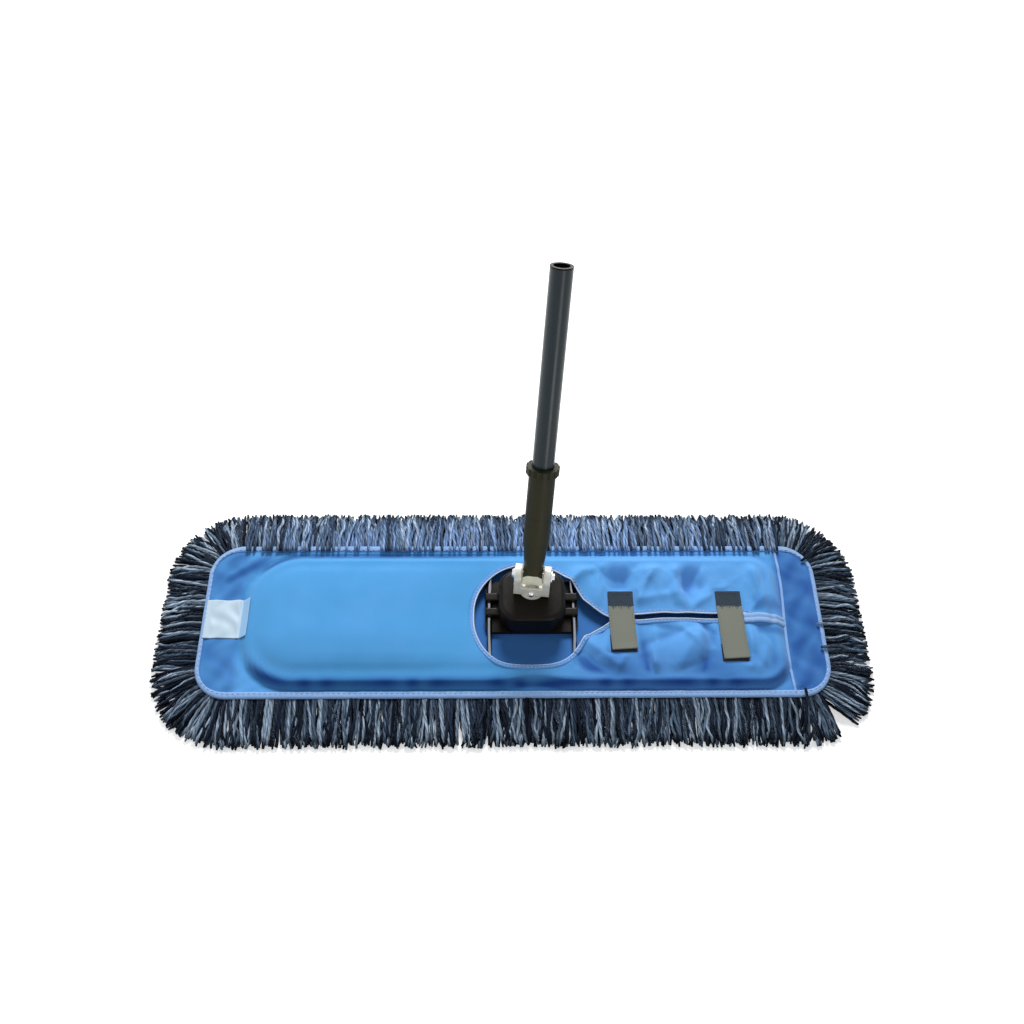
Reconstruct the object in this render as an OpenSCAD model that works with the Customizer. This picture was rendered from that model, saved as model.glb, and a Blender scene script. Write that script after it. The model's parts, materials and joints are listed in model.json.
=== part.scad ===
// Pocket dust mop on a wire frame, with a handle that swivels and tilts.
// The origin lies on the floor under the middle of the mop head. +X runs along the mop,
// +Y runs away from the near side and +Z points up. All lengths are in millimetres.

/* [Wire frame] */
// Length of the wire frame inside the pocket
frame_l = 566; // [500:2:640]
// Depth of the wire frame
frame_d = 132; // [126:2:150]
// Diameter of the wire of the outer loop
wire_d = 6; // [5:0.5:8]
// Radius of the loop's corners, at the middle of the wire
frame_corner_r = 44; // [36:1:52]
// Diameter of the two cross wires
cross_wire_d = 5.5; // [4:0.5:5.5]
// Distance between the two cross wires
cross_spacing = 92; // [90:1:96]

/* [Pocket] */
// Room between the frame and the pocket's wall
pocket_slack = 5; // [3:0.5:10]
// Width of the pocket's sloping wall, seen from above
pocket_slope = 11; // [8:0.5:16]
// How far the pocket lies towards the near side
pocket_shift = 2; // [0:0.5:2.5]
// Thickness of the pocket cloth
cloth_t = 1.2; // [0.8:0.1:2]
// Thickness of the backing cloth
backing_t = 1.6; // [1:0.1:3]
// Radius of the keyhole's two round ends
keyhole_r = 61; // [60:0.5:61.5]
// Straight length between the keyhole's round ends
keyhole_stretch = 8; // [4:0.5:9]
// Place of the keyhole along the mop
keyhole_x = 16; // [14:0.5:20]
// Width of the slit that leads out of the keyhole
slit_w = 5; // [4.5:0.1:6]
// Distance of the slit's end from the pocket's end
slit_inset = 41; // [33:1:48]
// Reach of the keyhole's tapering side from its middle
taper_reach = 88; // [80:1:92]
// Width of the folded rim round the keyhole
rim_w = 4; // [2:0.5:4.5]
// Thickness of the folded rim
rim_t = 0.8; // [0.5:0.1:1]

/* [Hem, yarn and label] */
// Width of the flat hem at each end
end_hem = 41; // [30:1:60]
// Width of the flat hem along each side
side_hem = 9; // [8.5:0.5:20]
// Corner radius of the backing
backing_corner_r = 36; // [28:1:50]
// Width of the binding tape on the hem
hem_tape_w = 6; // [3:0.5:6]
// Thickness of the binding tape
hem_tape_t = 1; // [0.6:0.1:2]
// Height of the yarn pile under the backing
pile_h = 13; // [9:0.5:20]
// Reach of the fringe beyond the backing
fringe_reach = 51; // [35:1:70]
// Height of the fringe's crown above the backing's underside
fringe_crown = 1.4; // [0.5:0.1:3]
// Height of the fringe at its tips
fringe_tip_h = 3.5; // [2:0.5:6]
// Distance from tuft to tuft along the fringe
tuft_pitch = 7; // [6:0.5:14]
// Depth to which the backing overlaps the fringe
fringe_lap = 8; // [4:0.5:14]
// Largest difference in the tufts' lengths
tuft_ragged = 5; // [0:0.5:10]
// Width of the label, across the mop
label_w = 46; // [20:1:60]
// Thickness of the label
label_t = 0.8; // [0.4:0.1:1.5]
// Distance of the label from the backing's end
label_inset = 2; // [0.5:0.5:5]
// How far the label runs up the pocket's wall, seen from above
label_climb = 8; // [3:0.5:9]

/* [Closure straps] */
// Width of the closure straps
strap_w = 28; // [20:1:40]
// Thickness of the closure straps
strap_t = 1.5; // [0.8:0.1:2.5]
// Place of the inner strap along the mop
inner_strap_x = 117.5; // [108:0.5:150]
// Distance of the outer strap from the pocket's end
outer_strap_inset = 62; // [54:0.5:104]
// Free length of the inner strap
inner_strap_l = 47; // [35:1:60]
// Free length of the outer strap
outer_strap_l = 58; // [35:1:62]
// Length of each strap's sewn end
anchor_l = 22; // [12:1:40]
// Distance of the sewn ends from the slit's rim
anchor_offset = 1.3; // [0.5:0.1:4]
// Length of the hook patches
hook_l = 20; // [12:1:22]
// Thickness of the hook patches
hook_t = 1; // [0.9:0.1:2]
// How far a hook patch shows past its strap's end
hook_show = 2.5; // [0:0.5:4]
// Corner radius of the straps and their patches
strap_corner_r = 2; // [1:0.5:4]

/* [Connector] */
// Place of the connector along the mop
connector_x = 19; // [17:0.5:21]
// Place of the connector across the mop
connector_y = 13; // [8:0.5:16]
// Length of the connector's housing
block_l = 72; // [66:1:76]
// Depth of the connector's housing
block_d = 62; // [56:1:66]
// Height of the housing above the middle of the cross wires
block_h = 30; // [24:0.5:40]
// Corner radius of the housing
block_corner_r = 20; // [14:0.5:24]
// Radius of the housing's upper edge
block_edge_r = 5; // [2:0.5:8]
// Thickness of the clamp plate under the cross wires
clamp_web = 2.2; // [1.5:0.1:5]
// Corner radius of the clamp plate
clamp_corner_r = 8; // [4:0.5:12]
// Width of the fingers that hold the cross wires down
finger_w = 9; // [5:0.5:12]
// Thickness of the fingers above the cross wires
finger_t = 4; // [2:0.5:6]
// How far fingers and clamp plate reach past the cross wires
finger_lip = 2; // [1:0.5:2.5]
// Distance between the two fingers on a side
finger_pitch = 18; // [14:0.5:22]
// Radius of the clamp screws
screw_r = 2; // [1.5:0.25:2.5]
// Radius of the clamp screws' heads
screw_head_r = 3.8; // [3:0.1:4.5]
// Height of the clamp screws' heads
screw_head_h = 2; // [1:0.1:2.5]
// Depth to which the clamp screws enter the housing
screw_grip = 12; // [8:0.5:16]
// Distance of the clamp screws from the housing's sides
screw_inset = 10; // [8:0.5:12]

/* [Swivel and yoke] */
// Distance of the swivel behind the connector's middle
swivel_back = 8; // [4:0.5:10]
// Radius of the swivel bolt
swivel_r = 5; // [4:0.25:6]
// Radius of the swivel bolt's head
swivel_head_r = 7.5; // [7:0.25:8]
// Height of the swivel bolt's head
swivel_head_h = 5; // [3:0.25:6]
// Radius of the swivel nut, over its corners
nut_r = 9; // [8:0.25:10]
// Height of the swivel nut
nut_h = 7; // [5:0.5:9]
// Radius of the washer over the nut
nut_washer_r = 10; // [9:0.25:11]
// Thickness of the washer over the nut
nut_washer_t = 1.6; // [1:0.1:2.5]
// Radius of the thrust washer
thrust_r = 15; // [10:0.5:18]
// Thickness of the thrust washer
thrust_t = 1.5; // [0.8:0.1:3]
// Angle by which the yoke is turned on its swivel
yoke_turn = 7; // [0:1:30]
// Gap between the yoke's ears
yoke_gap = 23.4; // [22.8:0.1:28]
// Thickness of each ear
ear_t = 7.5; // [4:0.25:9]
// Radius of the ears' round tops
ear_r = 11; // [9.5:0.25:14]
// Thickness of the yoke's foot
foot_t = 7; // [6:0.25:12]
// Height of the aprons between the ears, above the yoke's foot
apron_h = 7.5; // [2:0.25:8]
// Thickness of the aprons
apron_t = 2.5; // [1.5:0.25:2.75]
// Height of the tilt pin above the yoke's foot
pin_rise = 19.2; // [17.5:0.1:26]
// Radius of the tilt pin
pin_r = 4; // [3:0.1:5]
// Radius of the tilt pin's head
pin_head_r = 6.5; // [5.5:0.25:9]
// Height of the tilt pin's head
pin_head_h = 3; // [1.5:0.25:5]
// Length of the tilt pin past its clip
pin_tail = 2.5; // [1:0.25:5]
// Radius of the pin's clip
clip_r = 7; // [6:0.25:9]
// Thickness of the pin's clip
clip_t = 1.4; // [0.8:0.1:2.5]
// Radius of the friction washers
friction_r = 9; // [6:0.25:9.5]
// Thickness of the friction washers
friction_t = 0.8; // [0.5:0.1:0.9]
// Radius of the tension screw
tension_r = 2.2; // [1.5:0.1:2.8]
// Radius of the tension screw's round head
tension_head_r = 3.4; // [3:0.1:3.5]
// Depth to which the tension screw enters the foot
tension_grip = 4.5; // [3:0.25:5]

/* [Handle] */
// Angle at which the handle leans away from the near side
handle_lean = 29; // [0:1:60]
// Outer diameter of the handle tube
tube_d = 22.25; // [20:0.25:22.75]
// Wall of the handle tube
tube_wall = 1; // [0.6:0.1:2]
// Length of the handle tube
tube_l = 294; // [220:1:600]
// Diameter of the socket
socket_d = 27.5; // [27:0.25:32]
// Diameter of the socket's foot, between the ears
tang_d = 21; // [19:0.25:21]
// Length of the socket from the tilt pin to its mouth
socket_l = 128; // [126:1:240]
// Height of the socket's foot above the tilt pin
tang_h = 14; // [12:0.5:20]
// Height at which the socket reaches its full diameter
cone_h = 45; // [30:1:50]
// Depth of the socket's bore below the top of its cone
bore_depth = 7; // [0:0.5:10]
// Diameter of the neck under the lock collar
neck_d = 26; // [25.6:0.1:26.8]
// Length of the neck under the lock collar
neck_l = 6; // [5:0.5:14]
// Wall of the grip bush
grip_wall = 0.9; // [0.6:0.1:1.2]
// Length of the grip bush
grip_l = 12; // [8:0.5:18]
// Outer diameter of the lock collar
collar_d = 34; // [31:0.25:40]
// Height of the lock collar's lip over the neck
collar_lip_h = 1.8; // [1.5:0.1:5]
// Number of flutes round the lock collar
collar_flutes = 16; // [8:1:24]
// Radius of the flutes
flute_r = 1.2; // [0.6:0.1:1.6]
// Inner diameter of the end bush
end_bore_d = 16; // [10:0.25:17]
// Length of the end bush inside the tube
end_bush_l = 40; // [20:1:80]
// Thickness of the end bush's flange
end_flange_t = 1.5; // [1:0.1:4]

/* [Clearances] */
// Gap between a wire and the cloth over it
cloth_gap = 0.4; // [0.2:0.05:1]
// Gap between the clamp plate and the backing
seat_gap = 0.3; // [0.1:0.05:0.6]
// Radial clearance of pins, bolts and tubes in their bores
run_gap = 0.05; // [0.02:0.01:0.09]
// Gap between flat faces that slide on each other
slide_gap = 0.15; // [0.1:0.05:0.25]
// Gap between soft pieces that lie beside each other
soft_gap = 0.3; // [0.2:0.05:0.6]

/* [Hidden] */
$fn = 64;
// Overrun of every cut past the face that it opens
overrun = 1;
// Angle from one tuft's length to the next tuft's, which never repeats
tuft_turn = 137.5;
// Share of a tuft's pitch that stays open at its tips
tuft_open_share = 0.3;
// Share of the fringe's reach at which neighbouring tufts part
tuft_root_share = 0.16;
// Shares of the reach and of the fall at which the fringe's upper side bends
fringe_reach_shares = [0.06, 0.3, 0.66];
fringe_fall_shares = [0.16, 0, 0.36];
// Share of the keyhole's radius at which its taper starts, inside the round
taper_root_share = 0.9;
// Share of the tension screw's head that stands clear of the yoke's foot
tension_proud_share = 0.8;

backing_z = pile_h;
backing_top = backing_z + backing_t;
hem_top = backing_top + cloth_t;
plate_z = backing_top + seat_gap;
wire_z = plate_z + clamp_web + run_gap + cross_wire_d / 2;
roof_z = wire_z + wire_d / 2 + cloth_gap;
roof_top = roof_z + cloth_t;
pocket_margin = pocket_slack + pocket_slope;
pocket_l = frame_l + 2 * pocket_margin;
pocket_d = frame_d + 2 * pocket_margin;
pocket_corner_r = frame_corner_r + wire_d / 2 + pocket_margin;
backing_l = pocket_l + 2 * end_hem;
backing_d = pocket_d + 2 * side_hem;
loop_l = frame_l - wire_d;
loop_d = frame_d - wire_d;
slit_y = -pocket_shift;
slit_reach = pocket_l / 2 - slit_inset - keyhole_x;
outer_strap_x = pocket_l / 2 - outer_strap_inset;

block_top = wire_z + block_h;
jaw_l = cross_spacing + cross_wire_d + 2 * finger_lip;
swivel_y = connector_y + swivel_back;
thrust_top = block_top + thrust_t;
foot_z = thrust_top + slide_gap;
foot_top = foot_z + foot_t;
pin_z = foot_top + pin_rise;
yoke_w = yoke_gap + 2 * ear_t;
yoke_d = 2 * ear_r;
nut_room_r = nut_washer_r + soft_gap;
nut_room_h = nut_h + nut_washer_t;
clip_x = yoke_w / 2 + slide_gap;

bore_r = tube_d / 2 + run_gap;
bore_z = cone_h - bore_depth;
tube_z = bore_z + slide_gap;
tube_top = tube_z + tube_l;
tube_bore_r = tube_d / 2 - tube_wall;
neck_z = socket_l - neck_l;
collar_z = neck_z + slide_gap;
collar_top = socket_l + slide_gap + collar_lip_h;

anchor_y = slit_y + slit_w / 2 + rim_w + anchor_offset;
anchor_t = hook_t + soft_gap + strap_t;
strap_z = roof_top + hook_t + soft_gap;
strap_y = anchor_y - soft_gap;

// Half of the way round the fringe, at the middle of its reach
rim_side_l = backing_l - 2 * backing_corner_r;
rim_side_d = backing_d - 2 * backing_corner_r;
rim_arc = PI / 2 * (backing_corner_r + fringe_reach / 2);
half_round = rim_side_l + rim_side_d + 2 * rim_arc;
tuft_count = 2 * round(half_round / tuft_pitch);
tuft_step = 2 * half_round / tuft_count;

// A rectangle with round corners
module rounded(l, d, r) {
    square([l, d - 2 * r], center = true);
    square([l - 2 * r, d], center = true);
    for (x = [-1, 1], y = [-1, 1])
        translate([x * (l / 2 - r), y * (d / 2 - r)])
            circle(r);
}

// One straight side of a swept outline, half from its middle
module swept_side(half, l) {
    translate([half, l / 2, 0])
        rotate([90, 0, 0])
            linear_extrude(l)
                children();
}

// A profile carried along the two long sides of a rectangle with round corners:
// x points out of the outline, y points up
module long_sides(l, d, r) {
    for (turn = [90, 270])
        rotate(turn)
            swept_side(d / 2, l - 2 * r)
                children();
}

// The same profile carried round the two ends, each a short side between two corners
module round_ends(l, d, r) {
    for (turn = [0, 180])
        rotate(turn) {
            swept_side(l / 2, d - 2 * r)
                children();
            for (y = [-1, 1])
                translate([l / 2 - r, y * (d / 2 - r), 0])
                    rotate(y > 0 ? 0 : 270)
                        rotate_extrude(angle = 90)
                            translate([r, 0])
                                children();
        }
}

// The same profile carried all the way round
module around(l, d, r) {
    long_sides(l, d, r)
        children();
    round_ends(l, d, r)
        children();
}

// A block with round corners and a round upper edge
module rounded_block(l, d, r, h, edge) {
    linear_extrude(h - edge)
        rounded(l, d, r);
    translate([0, 0, h - edge]) {
        linear_extrude(edge)
            rounded(l - 2 * edge, d - 2 * edge, r - edge);
        around(l - 2 * edge, d - 2 * edge, r - edge)
            intersection() {
                circle(edge);
                square(edge);
            }
    }
}

// A flat ring
module ring(outer_r, inner_r, h) {
    difference() {
        cylinder(r = outer_r, h = h);
        translate([0, 0, -overrun])
            cylinder(r = inner_r, h = h + 2 * overrun);
    }
}

// Place on the fringe's core rectangle, with the outward angle, at a distance along its outline
function core(u) =
    u >= half_round ? let (c = core(u - half_round)) [-c[0], -c[1], c[2] + 180] :
    u < rim_side_d ? [rim_side_l / 2, u - rim_side_d / 2, 0] :
    u < rim_side_d + rim_arc ? [rim_side_l / 2, rim_side_d / 2, 90 * (u - rim_side_d) / rim_arc] :
    u < half_round - rim_arc ? [rim_side_l / 2 + rim_side_d + rim_arc - u, rim_side_d / 2, 90] :
    [-rim_side_l / 2, rim_side_d / 2, 180 + 90 * (u - half_round) / rim_arc];

// Point of the fringe, reach outside the backing's edge, at a distance along its outline
function rim_point(u, reach) =
    let (c = core(u % (2 * half_round)), r = backing_corner_r + reach)
    [c[0] + r * cos(c[2]), c[1] + r * sin(c[2])];

function tuft_reach(i) = fringe_reach - tuft_ragged * pow(sin(i * tuft_turn), 2);

// The fringe seen from above: a comb of tufts, each with a root and two corners at its tip
tufts = [
    for (i = [0 : tuft_count - 1])
        each [
            rim_point(i * tuft_step, tuft_root_share * fringe_reach),
            rim_point((i + tuft_open_share / 2) * tuft_step, i % 2 == 0 ? fringe_reach : tuft_reach(i)),
            rim_point((i + 1 - tuft_open_share / 2) * tuft_step, tuft_reach(i))
        ]
];

// Section of the fringe, from under the backing to just past the tips, which the comb then cuts
module fringe_section() {
    crown = backing_z + fringe_crown;
    fall = crown - fringe_tip_h;
    bends = [
        for (k = [0 : len(fringe_reach_shares) - 1])
            [fringe_reach_shares[k] * fringe_reach, crown - fringe_fall_shares[k] * fall]
    ];
    polygon(concat(
        [[-fringe_lap, 0], [-fringe_lap, backing_z], [soft_gap, backing_z]],
        bends,
        [[fringe_reach + overrun, fringe_tip_h], [fringe_reach + overrun, 0]]
    ));
}

module yarn_pile() {
    inset = 2 * (fringe_lap + soft_gap);
    color("lightslategray")
        linear_extrude(pile_h)
            rounded(backing_l - inset, backing_d - inset, backing_corner_r - inset / 2);
}

module yarn_fringe() {
    color("darkslategray")
        intersection() {
            around(backing_l, backing_d, backing_corner_r)
                fringe_section();
            translate([0, 0, -overrun])
                linear_extrude(backing_z + fringe_crown + 2 * overrun)
                    polygon(tufts);
        }
}

module backing_cloth() {
    color("steelblue")
        translate([0, 0, backing_z])
            linear_extrude(backing_t)
                rounded(backing_l, backing_d, backing_corner_r);
}

// The keyhole with its tapering side and the slit, grown all round
module keyhole(grow) {
    r = keyhole_r + grow;
    half_slit = slit_w / 2 + grow;
    root_r = taper_root_share * r;
    open = acos(root_r / (taper_reach + grow));
    translate([keyhole_x, slit_y]) {
        for (y = [-1, 1])
            translate([0, y * keyhole_stretch / 2])
                circle(r);
        square([2 * r, keyhole_stretch], center = true);
        polygon([
            [root_r * cos(open), root_r * sin(open)],
            [root_r * cos(open), -root_r * sin(open)],
            [taper_reach + grow, -half_slit],
            [taper_reach + grow, half_slit]
        ]);
        translate([0, -half_slit])
            square([slit_reach, 2 * half_slit]);
        translate([slit_reach, 0])
            circle(half_slit);
    }
}

// The flat hem of the pocket, on the backing
module pocket_hem() {
    color("cornflowerblue")
        translate([0, 0, backing_top])
            linear_extrude(cloth_t)
                difference() {
                    rounded(backing_l, backing_d, backing_corner_r);
                    translate([0, -pocket_shift])
                        rounded(pocket_l, pocket_d, pocket_corner_r);
                }
}

// Section of the pocket's wall, from the hem up to the roof
module wall_section() {
    polygon([
        [0, backing_top],
        [0, hem_top],
        [-pocket_slope, roof_top],
        [-pocket_slope, roof_z]
    ]);
}

module pocket_side_walls() {
    color("cornflowerblue")
        translate([0, -pocket_shift, 0])
            long_sides(pocket_l, pocket_d, pocket_corner_r)
                wall_section();
}

module pocket_end_walls() {
    color("cornflowerblue")
        translate([0, -pocket_shift, 0])
            round_ends(pocket_l, pocket_d, pocket_corner_r)
                wall_section();
}

// The roof of the pocket, with the keyhole and the slit
module pocket_roof() {
    inset = 2 * pocket_slope;
    color("cornflowerblue")
        translate([0, 0, roof_z])
            linear_extrude(cloth_t)
                difference() {
                    translate([0, -pocket_shift])
                        rounded(pocket_l - inset, pocket_d - inset, pocket_corner_r - pocket_slope);
                    keyhole(0);
                }
}

module hem_binding() {
    inset = 2 * hem_tape_w;
    color("lightsteelblue")
        translate([0, 0, hem_top])
            linear_extrude(hem_tape_t)
                difference() {
                    rounded(backing_l, backing_d, backing_corner_r);
                    rounded(backing_l - inset, backing_d - inset, backing_corner_r - hem_tape_w);
                }
}

module keyhole_binding() {
    color("lightskyblue")
        translate([0, 0, roof_top])
            linear_extrude(rim_t)
                difference() {
                    keyhole(rim_w);
                    keyhole(0);
                }
}

// The label lies on the binding tape and turns up the pocket's end wall
module care_label() {
    rise = (roof_top - hem_top) / pocket_slope;
    low = hem_top + hem_tape_t;
    start = -backing_l / 2 + label_inset;
    turn = -pocket_l / 2 + hem_tape_t / rise - soft_gap;
    high = low + label_climb * rise;
    color("whitesmoke")
        translate([0, label_w / 2, 0])
            rotate([90, 0, 0])
                linear_extrude(label_w)
                    polygon([
                        [start, low],
                        [turn, low],
                        [turn + label_climb, high],
                        [turn + label_climb, high + label_t],
                        [turn, low + label_t],
                        [start, low + label_t]
                    ]);
}

// A flat piece of tape with its far edge at y
module tape(x, y, w, l, z, t) {
    translate([x, y - l / 2, z])
        linear_extrude(t)
            rounded(w, l, strap_corner_r);
}

module strap_anchor(x) {
    color("midnightblue")
        tape(x, anchor_y + anchor_l, strap_w, anchor_l, roof_top, anchor_t);
}

module closure_strap(x, l) {
    color("dimgray")
        tape(x, strap_y, strap_w, l, strap_z, strap_t);
}

module hook_patch(x, l) {
    color("black")
        tape(x, strap_y - l - hook_show + hook_l, strap_w, hook_l, roof_top, hook_t);
}

module strap_anchor_inner() {
    strap_anchor(inner_strap_x);
}

module strap_anchor_outer() {
    strap_anchor(outer_strap_x);
}

module closure_strap_inner() {
    closure_strap(inner_strap_x, inner_strap_l);
}

module closure_strap_outer() {
    closure_strap(outer_strap_x, outer_strap_l);
}

module hook_patch_inner() {
    hook_patch(inner_strap_x, inner_strap_l);
}

module hook_patch_outer() {
    hook_patch(outer_strap_x, outer_strap_l);
}

// Two bars side by side: the cross wires, or the grooves that hold them
module cross_bars(d, l) {
    for (side = [-1, 1])
        translate([side * cross_spacing / 2, l / 2, wire_z])
            rotate([90, 0, 0])
                cylinder(d = d, h = l);
}

// Section of the outer loop's wire
module loop_section() {
    translate([0, wire_z])
        circle(d = wire_d);
}

module frame_sides() {
    color("silver")
        translate([0, -pocket_shift, 0])
            long_sides(loop_l, loop_d, frame_corner_r)
                loop_section();
}

module frame_ends() {
    color("silver")
        translate([0, -pocket_shift, 0])
            round_ends(loop_l, loop_d, frame_corner_r)
                loop_section();
}

// The cross wires, coped at both ends to meet the loop's long sides
module cross_wires() {
    color("silver")
        difference() {
            translate([connector_x, -pocket_shift, 0])
                cross_bars(cross_wire_d, loop_d);
            frame_sides();
        }
}

// Grooves for the cross wires, along the connector's whole depth
module wire_grooves() {
    cross_bars(cross_wire_d + 2 * run_gap, block_d + 2 * overrun);
}

// Copies at the places of the four clamp screws
module at_screws() {
    for (x = [-1, 1], y = [-1, 1])
        translate([x * (block_l / 2 - screw_inset), y * (block_d / 2 - screw_inset), 0])
            children();
}

module clamp_plate() {
    color("black")
        translate([connector_x, connector_y, 0])
            difference() {
                translate([0, 0, plate_z])
                    linear_extrude(wire_z - plate_z)
                        rounded(jaw_l, block_d, clamp_corner_r);
                wire_grooves();
                at_screws() {
                    translate([0, 0, plate_z - overrun])
                        cylinder(r = screw_r + run_gap, h = wire_z - plate_z + 2 * overrun);
                    translate([0, 0, plate_z - overrun])
                        cylinder(r = screw_head_r + run_gap, h = screw_head_h + overrun);
                }
            }
}

module connector_housing() {
    color("black")
        translate([connector_x, connector_y, 0])
            difference() {
                translate([0, 0, wire_z]) {
                    rounded_block(block_l, block_d, block_corner_r, block_h, block_edge_r);
                    for (side = [-1, 1])
                        translate([-jaw_l / 2, side * finger_pitch / 2 - finger_w / 2, 0])
                            cube([jaw_l, finger_w, cross_wire_d / 2 + finger_t]);
                }
                wire_grooves();
                translate([0, swivel_back, wire_z - overrun]) {
                    cylinder(r = swivel_r + run_gap, h = block_h + 2 * overrun);
                    cylinder(r = nut_room_r, h = nut_room_h + overrun);
                }
                at_screws()
                    translate([0, 0, wire_z - overrun])
                        cylinder(r = screw_r + run_gap, h = screw_grip + overrun);
            }
}

module clamp_screws() {
    color("gray")
        translate([connector_x, connector_y, plate_z])
            at_screws() {
                cylinder(r = screw_head_r, h = screw_head_h);
                cylinder(r = screw_r, h = wire_z - plate_z + screw_grip);
            }
}

// Copies on the axis of the swivel, at a height
module at_swivel(z) {
    translate([connector_x, swivel_y, z])
        children();
}

// Copies on the yoke, at a height
module at_yoke(z) {
    at_swivel(z)
        rotate([0, 0, -yoke_turn])
            children();
}

// Copies along the leaning handle, at a distance from its pin
module at_handle(l) {
    at_yoke(pin_z)
        rotate([-handle_lean, 0, 0])
            translate([0, 0, l])
                children();
}

module swivel_bolt() {
    head_z = foot_top + slide_gap;
    color("silver") {
        at_swivel(wire_z)
            cylinder(r = swivel_r, h = head_z - wire_z);
        at_swivel(head_z)
            cylinder(r = swivel_head_r, h = swivel_head_h);
    }
}

module nut_washer() {
    color("gray")
        at_swivel(wire_z + nut_h)
            ring(nut_washer_r, swivel_r + run_gap, nut_washer_t);
}

module swivel_nut() {
    color("gray")
        at_swivel(wire_z)
            difference() {
                cylinder(r = nut_r, h = nut_h, $fn = 6);
                translate([0, 0, -overrun])
                    cylinder(r = swivel_r + run_gap, h = nut_h + 2 * overrun);
            }
}

module thrust_washer() {
    color("ivory")
        at_swivel(block_top)
            ring(thrust_r, swivel_r + run_gap, thrust_t);
}

// A bar along X, from its middle
module cross_bar(r, l) {
    translate([-l / 2, 0, 0])
        rotate([0, 90, 0])
            cylinder(r = r, h = l);
}

module yoke() {
    ear_h = foot_t + pin_rise;
    color("gainsboro")
        at_yoke(foot_z)
            difference() {
                union() {
                    translate([-yoke_w / 2, -yoke_d / 2, 0])
                        cube([yoke_w, yoke_d, foot_t]);
                    for (y = [-yoke_d / 2, yoke_d / 2 - apron_t])
                        translate([-yoke_w / 2, y, 0])
                            cube([yoke_w, apron_t, foot_t + apron_h]);
                    for (side = [-1, 1])
                        translate([side * (yoke_gap + ear_t) / 2, 0, 0]) {
                            translate([-ear_t / 2, -ear_r, 0])
                                cube([ear_t, yoke_d, ear_h]);
                            translate([0, 0, ear_h])
                                cross_bar(ear_r, ear_t);
                        }
                }
                translate([0, 0, -overrun])
                    cylinder(r = swivel_r + run_gap, h = foot_t + 2 * overrun);
                translate([0, 0, ear_h])
                    cross_bar(pin_r + run_gap, yoke_w + 2 * overrun);
                translate([0, -yoke_d / 2 + tension_grip, foot_t / 2])
                    rotate([90, 0, 0])
                        cylinder(r = tension_r + run_gap, h = tension_grip + overrun);
            }
}

// The tension screw's round head is the part of a ball that stands out of the yoke's foot
module tension_screw() {
    proud = tension_proud_share * tension_head_r;
    color("silver")
        at_yoke(foot_z + foot_t / 2)
            translate([0, -yoke_d / 2, 0])
                rotate([90, 0, 0]) {
                    translate([0, 0, -tension_grip])
                        cylinder(r = tension_r, h = tension_grip + proud);
                    intersection() {
                        translate([0, 0, proud - tension_head_r])
                            sphere(tension_head_r);
                        cylinder(r = tension_head_r, h = tension_head_r);
                    }
                }
}

module tilt_pin() {
    shank_l = yoke_w + slide_gap + clip_t + pin_tail;
    color("silver")
        at_yoke(pin_z)
            translate([-yoke_w / 2, 0, 0])
                rotate([0, 90, 0]) {
                    cylinder(r = pin_r, h = shank_l);
                    translate([0, 0, -pin_head_h])
                        cylinder(r1 = pin_r, r2 = pin_head_r, h = pin_head_h);
                }
}

module pin_clip() {
    color("gray")
        at_yoke(pin_z)
            translate([clip_x, 0, 0])
                rotate([0, 90, 0])
                    ring(clip_r, pin_r + run_gap, clip_t);
}

module friction_washers() {
    color("ivory")
        at_yoke(pin_z)
            for (x = [-yoke_gap / 2, yoke_gap / 2 - friction_t])
                translate([x, 0, 0])
                    rotate([0, 90, 0])
                        ring(friction_r, pin_r + run_gap, friction_t);
}

module handle_socket() {
    foot_w = yoke_gap - 2 * (friction_t + slide_gap);
    color("darkolivegreen")
        at_handle(0)
            difference() {
                union() {
                    cross_bar(tang_d / 2 - soft_gap, min(foot_w, tang_d) - soft_gap);
                    cylinder(d = tang_d, h = tang_h);
                    translate([0, 0, tang_h])
                        cylinder(d1 = tang_d, d2 = socket_d, h = cone_h - tang_h);
                    translate([0, 0, cone_h])
                        cylinder(d = socket_d, h = neck_z - cone_h);
                    translate([0, 0, neck_z])
                        cylinder(d = neck_d, h = neck_l);
                }
                cross_bar(pin_r + run_gap, yoke_w);
                translate([0, 0, bore_z])
                    cylinder(r = bore_r, h = socket_l - bore_z + overrun);
                translate([0, 0, socket_l - grip_l])
                    cylinder(r = bore_r + grip_wall + run_gap, h = grip_l + overrun);
            }
}

module grip_bush() {
    color("dimgray")
        at_handle(socket_l - grip_l)
            ring(bore_r + grip_wall, bore_r, grip_l);
}

module lock_collar() {
    color("black")
        at_handle(0)
            difference() {
                translate([0, 0, collar_z])
                    cylinder(d = collar_d, h = collar_top - collar_z);
                translate([0, 0, collar_z - overrun])
                    cylinder(r = neck_d / 2 + run_gap, h = socket_l + slide_gap - collar_z + overrun);
                translate([0, 0, collar_z])
                    cylinder(r = bore_r + soft_gap, h = collar_top - collar_z + overrun);
                for (k = [1 : collar_flutes])
                    rotate(k * 360 / collar_flutes)
                        translate([collar_d / 2, 0, collar_z - overrun])
                            cylinder(r = flute_r, h = collar_top - collar_z + 2 * overrun);
            }
}

module handle_tube() {
    color("slategray")
        at_handle(tube_z)
            ring(tube_d / 2, tube_bore_r, tube_l);
}

module end_bush() {
    color("black")
        at_handle(tube_top)
            difference() {
                union() {
                    cylinder(d = tube_d, h = end_flange_t);
                    translate([0, 0, -end_bush_l])
                        cylinder(r = tube_bore_r - run_gap, h = end_bush_l);
                }
                translate([0, 0, -end_bush_l - overrun])
                    cylinder(d = end_bore_d, h = end_bush_l + end_flange_t + 2 * overrun);
            }
}

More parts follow.
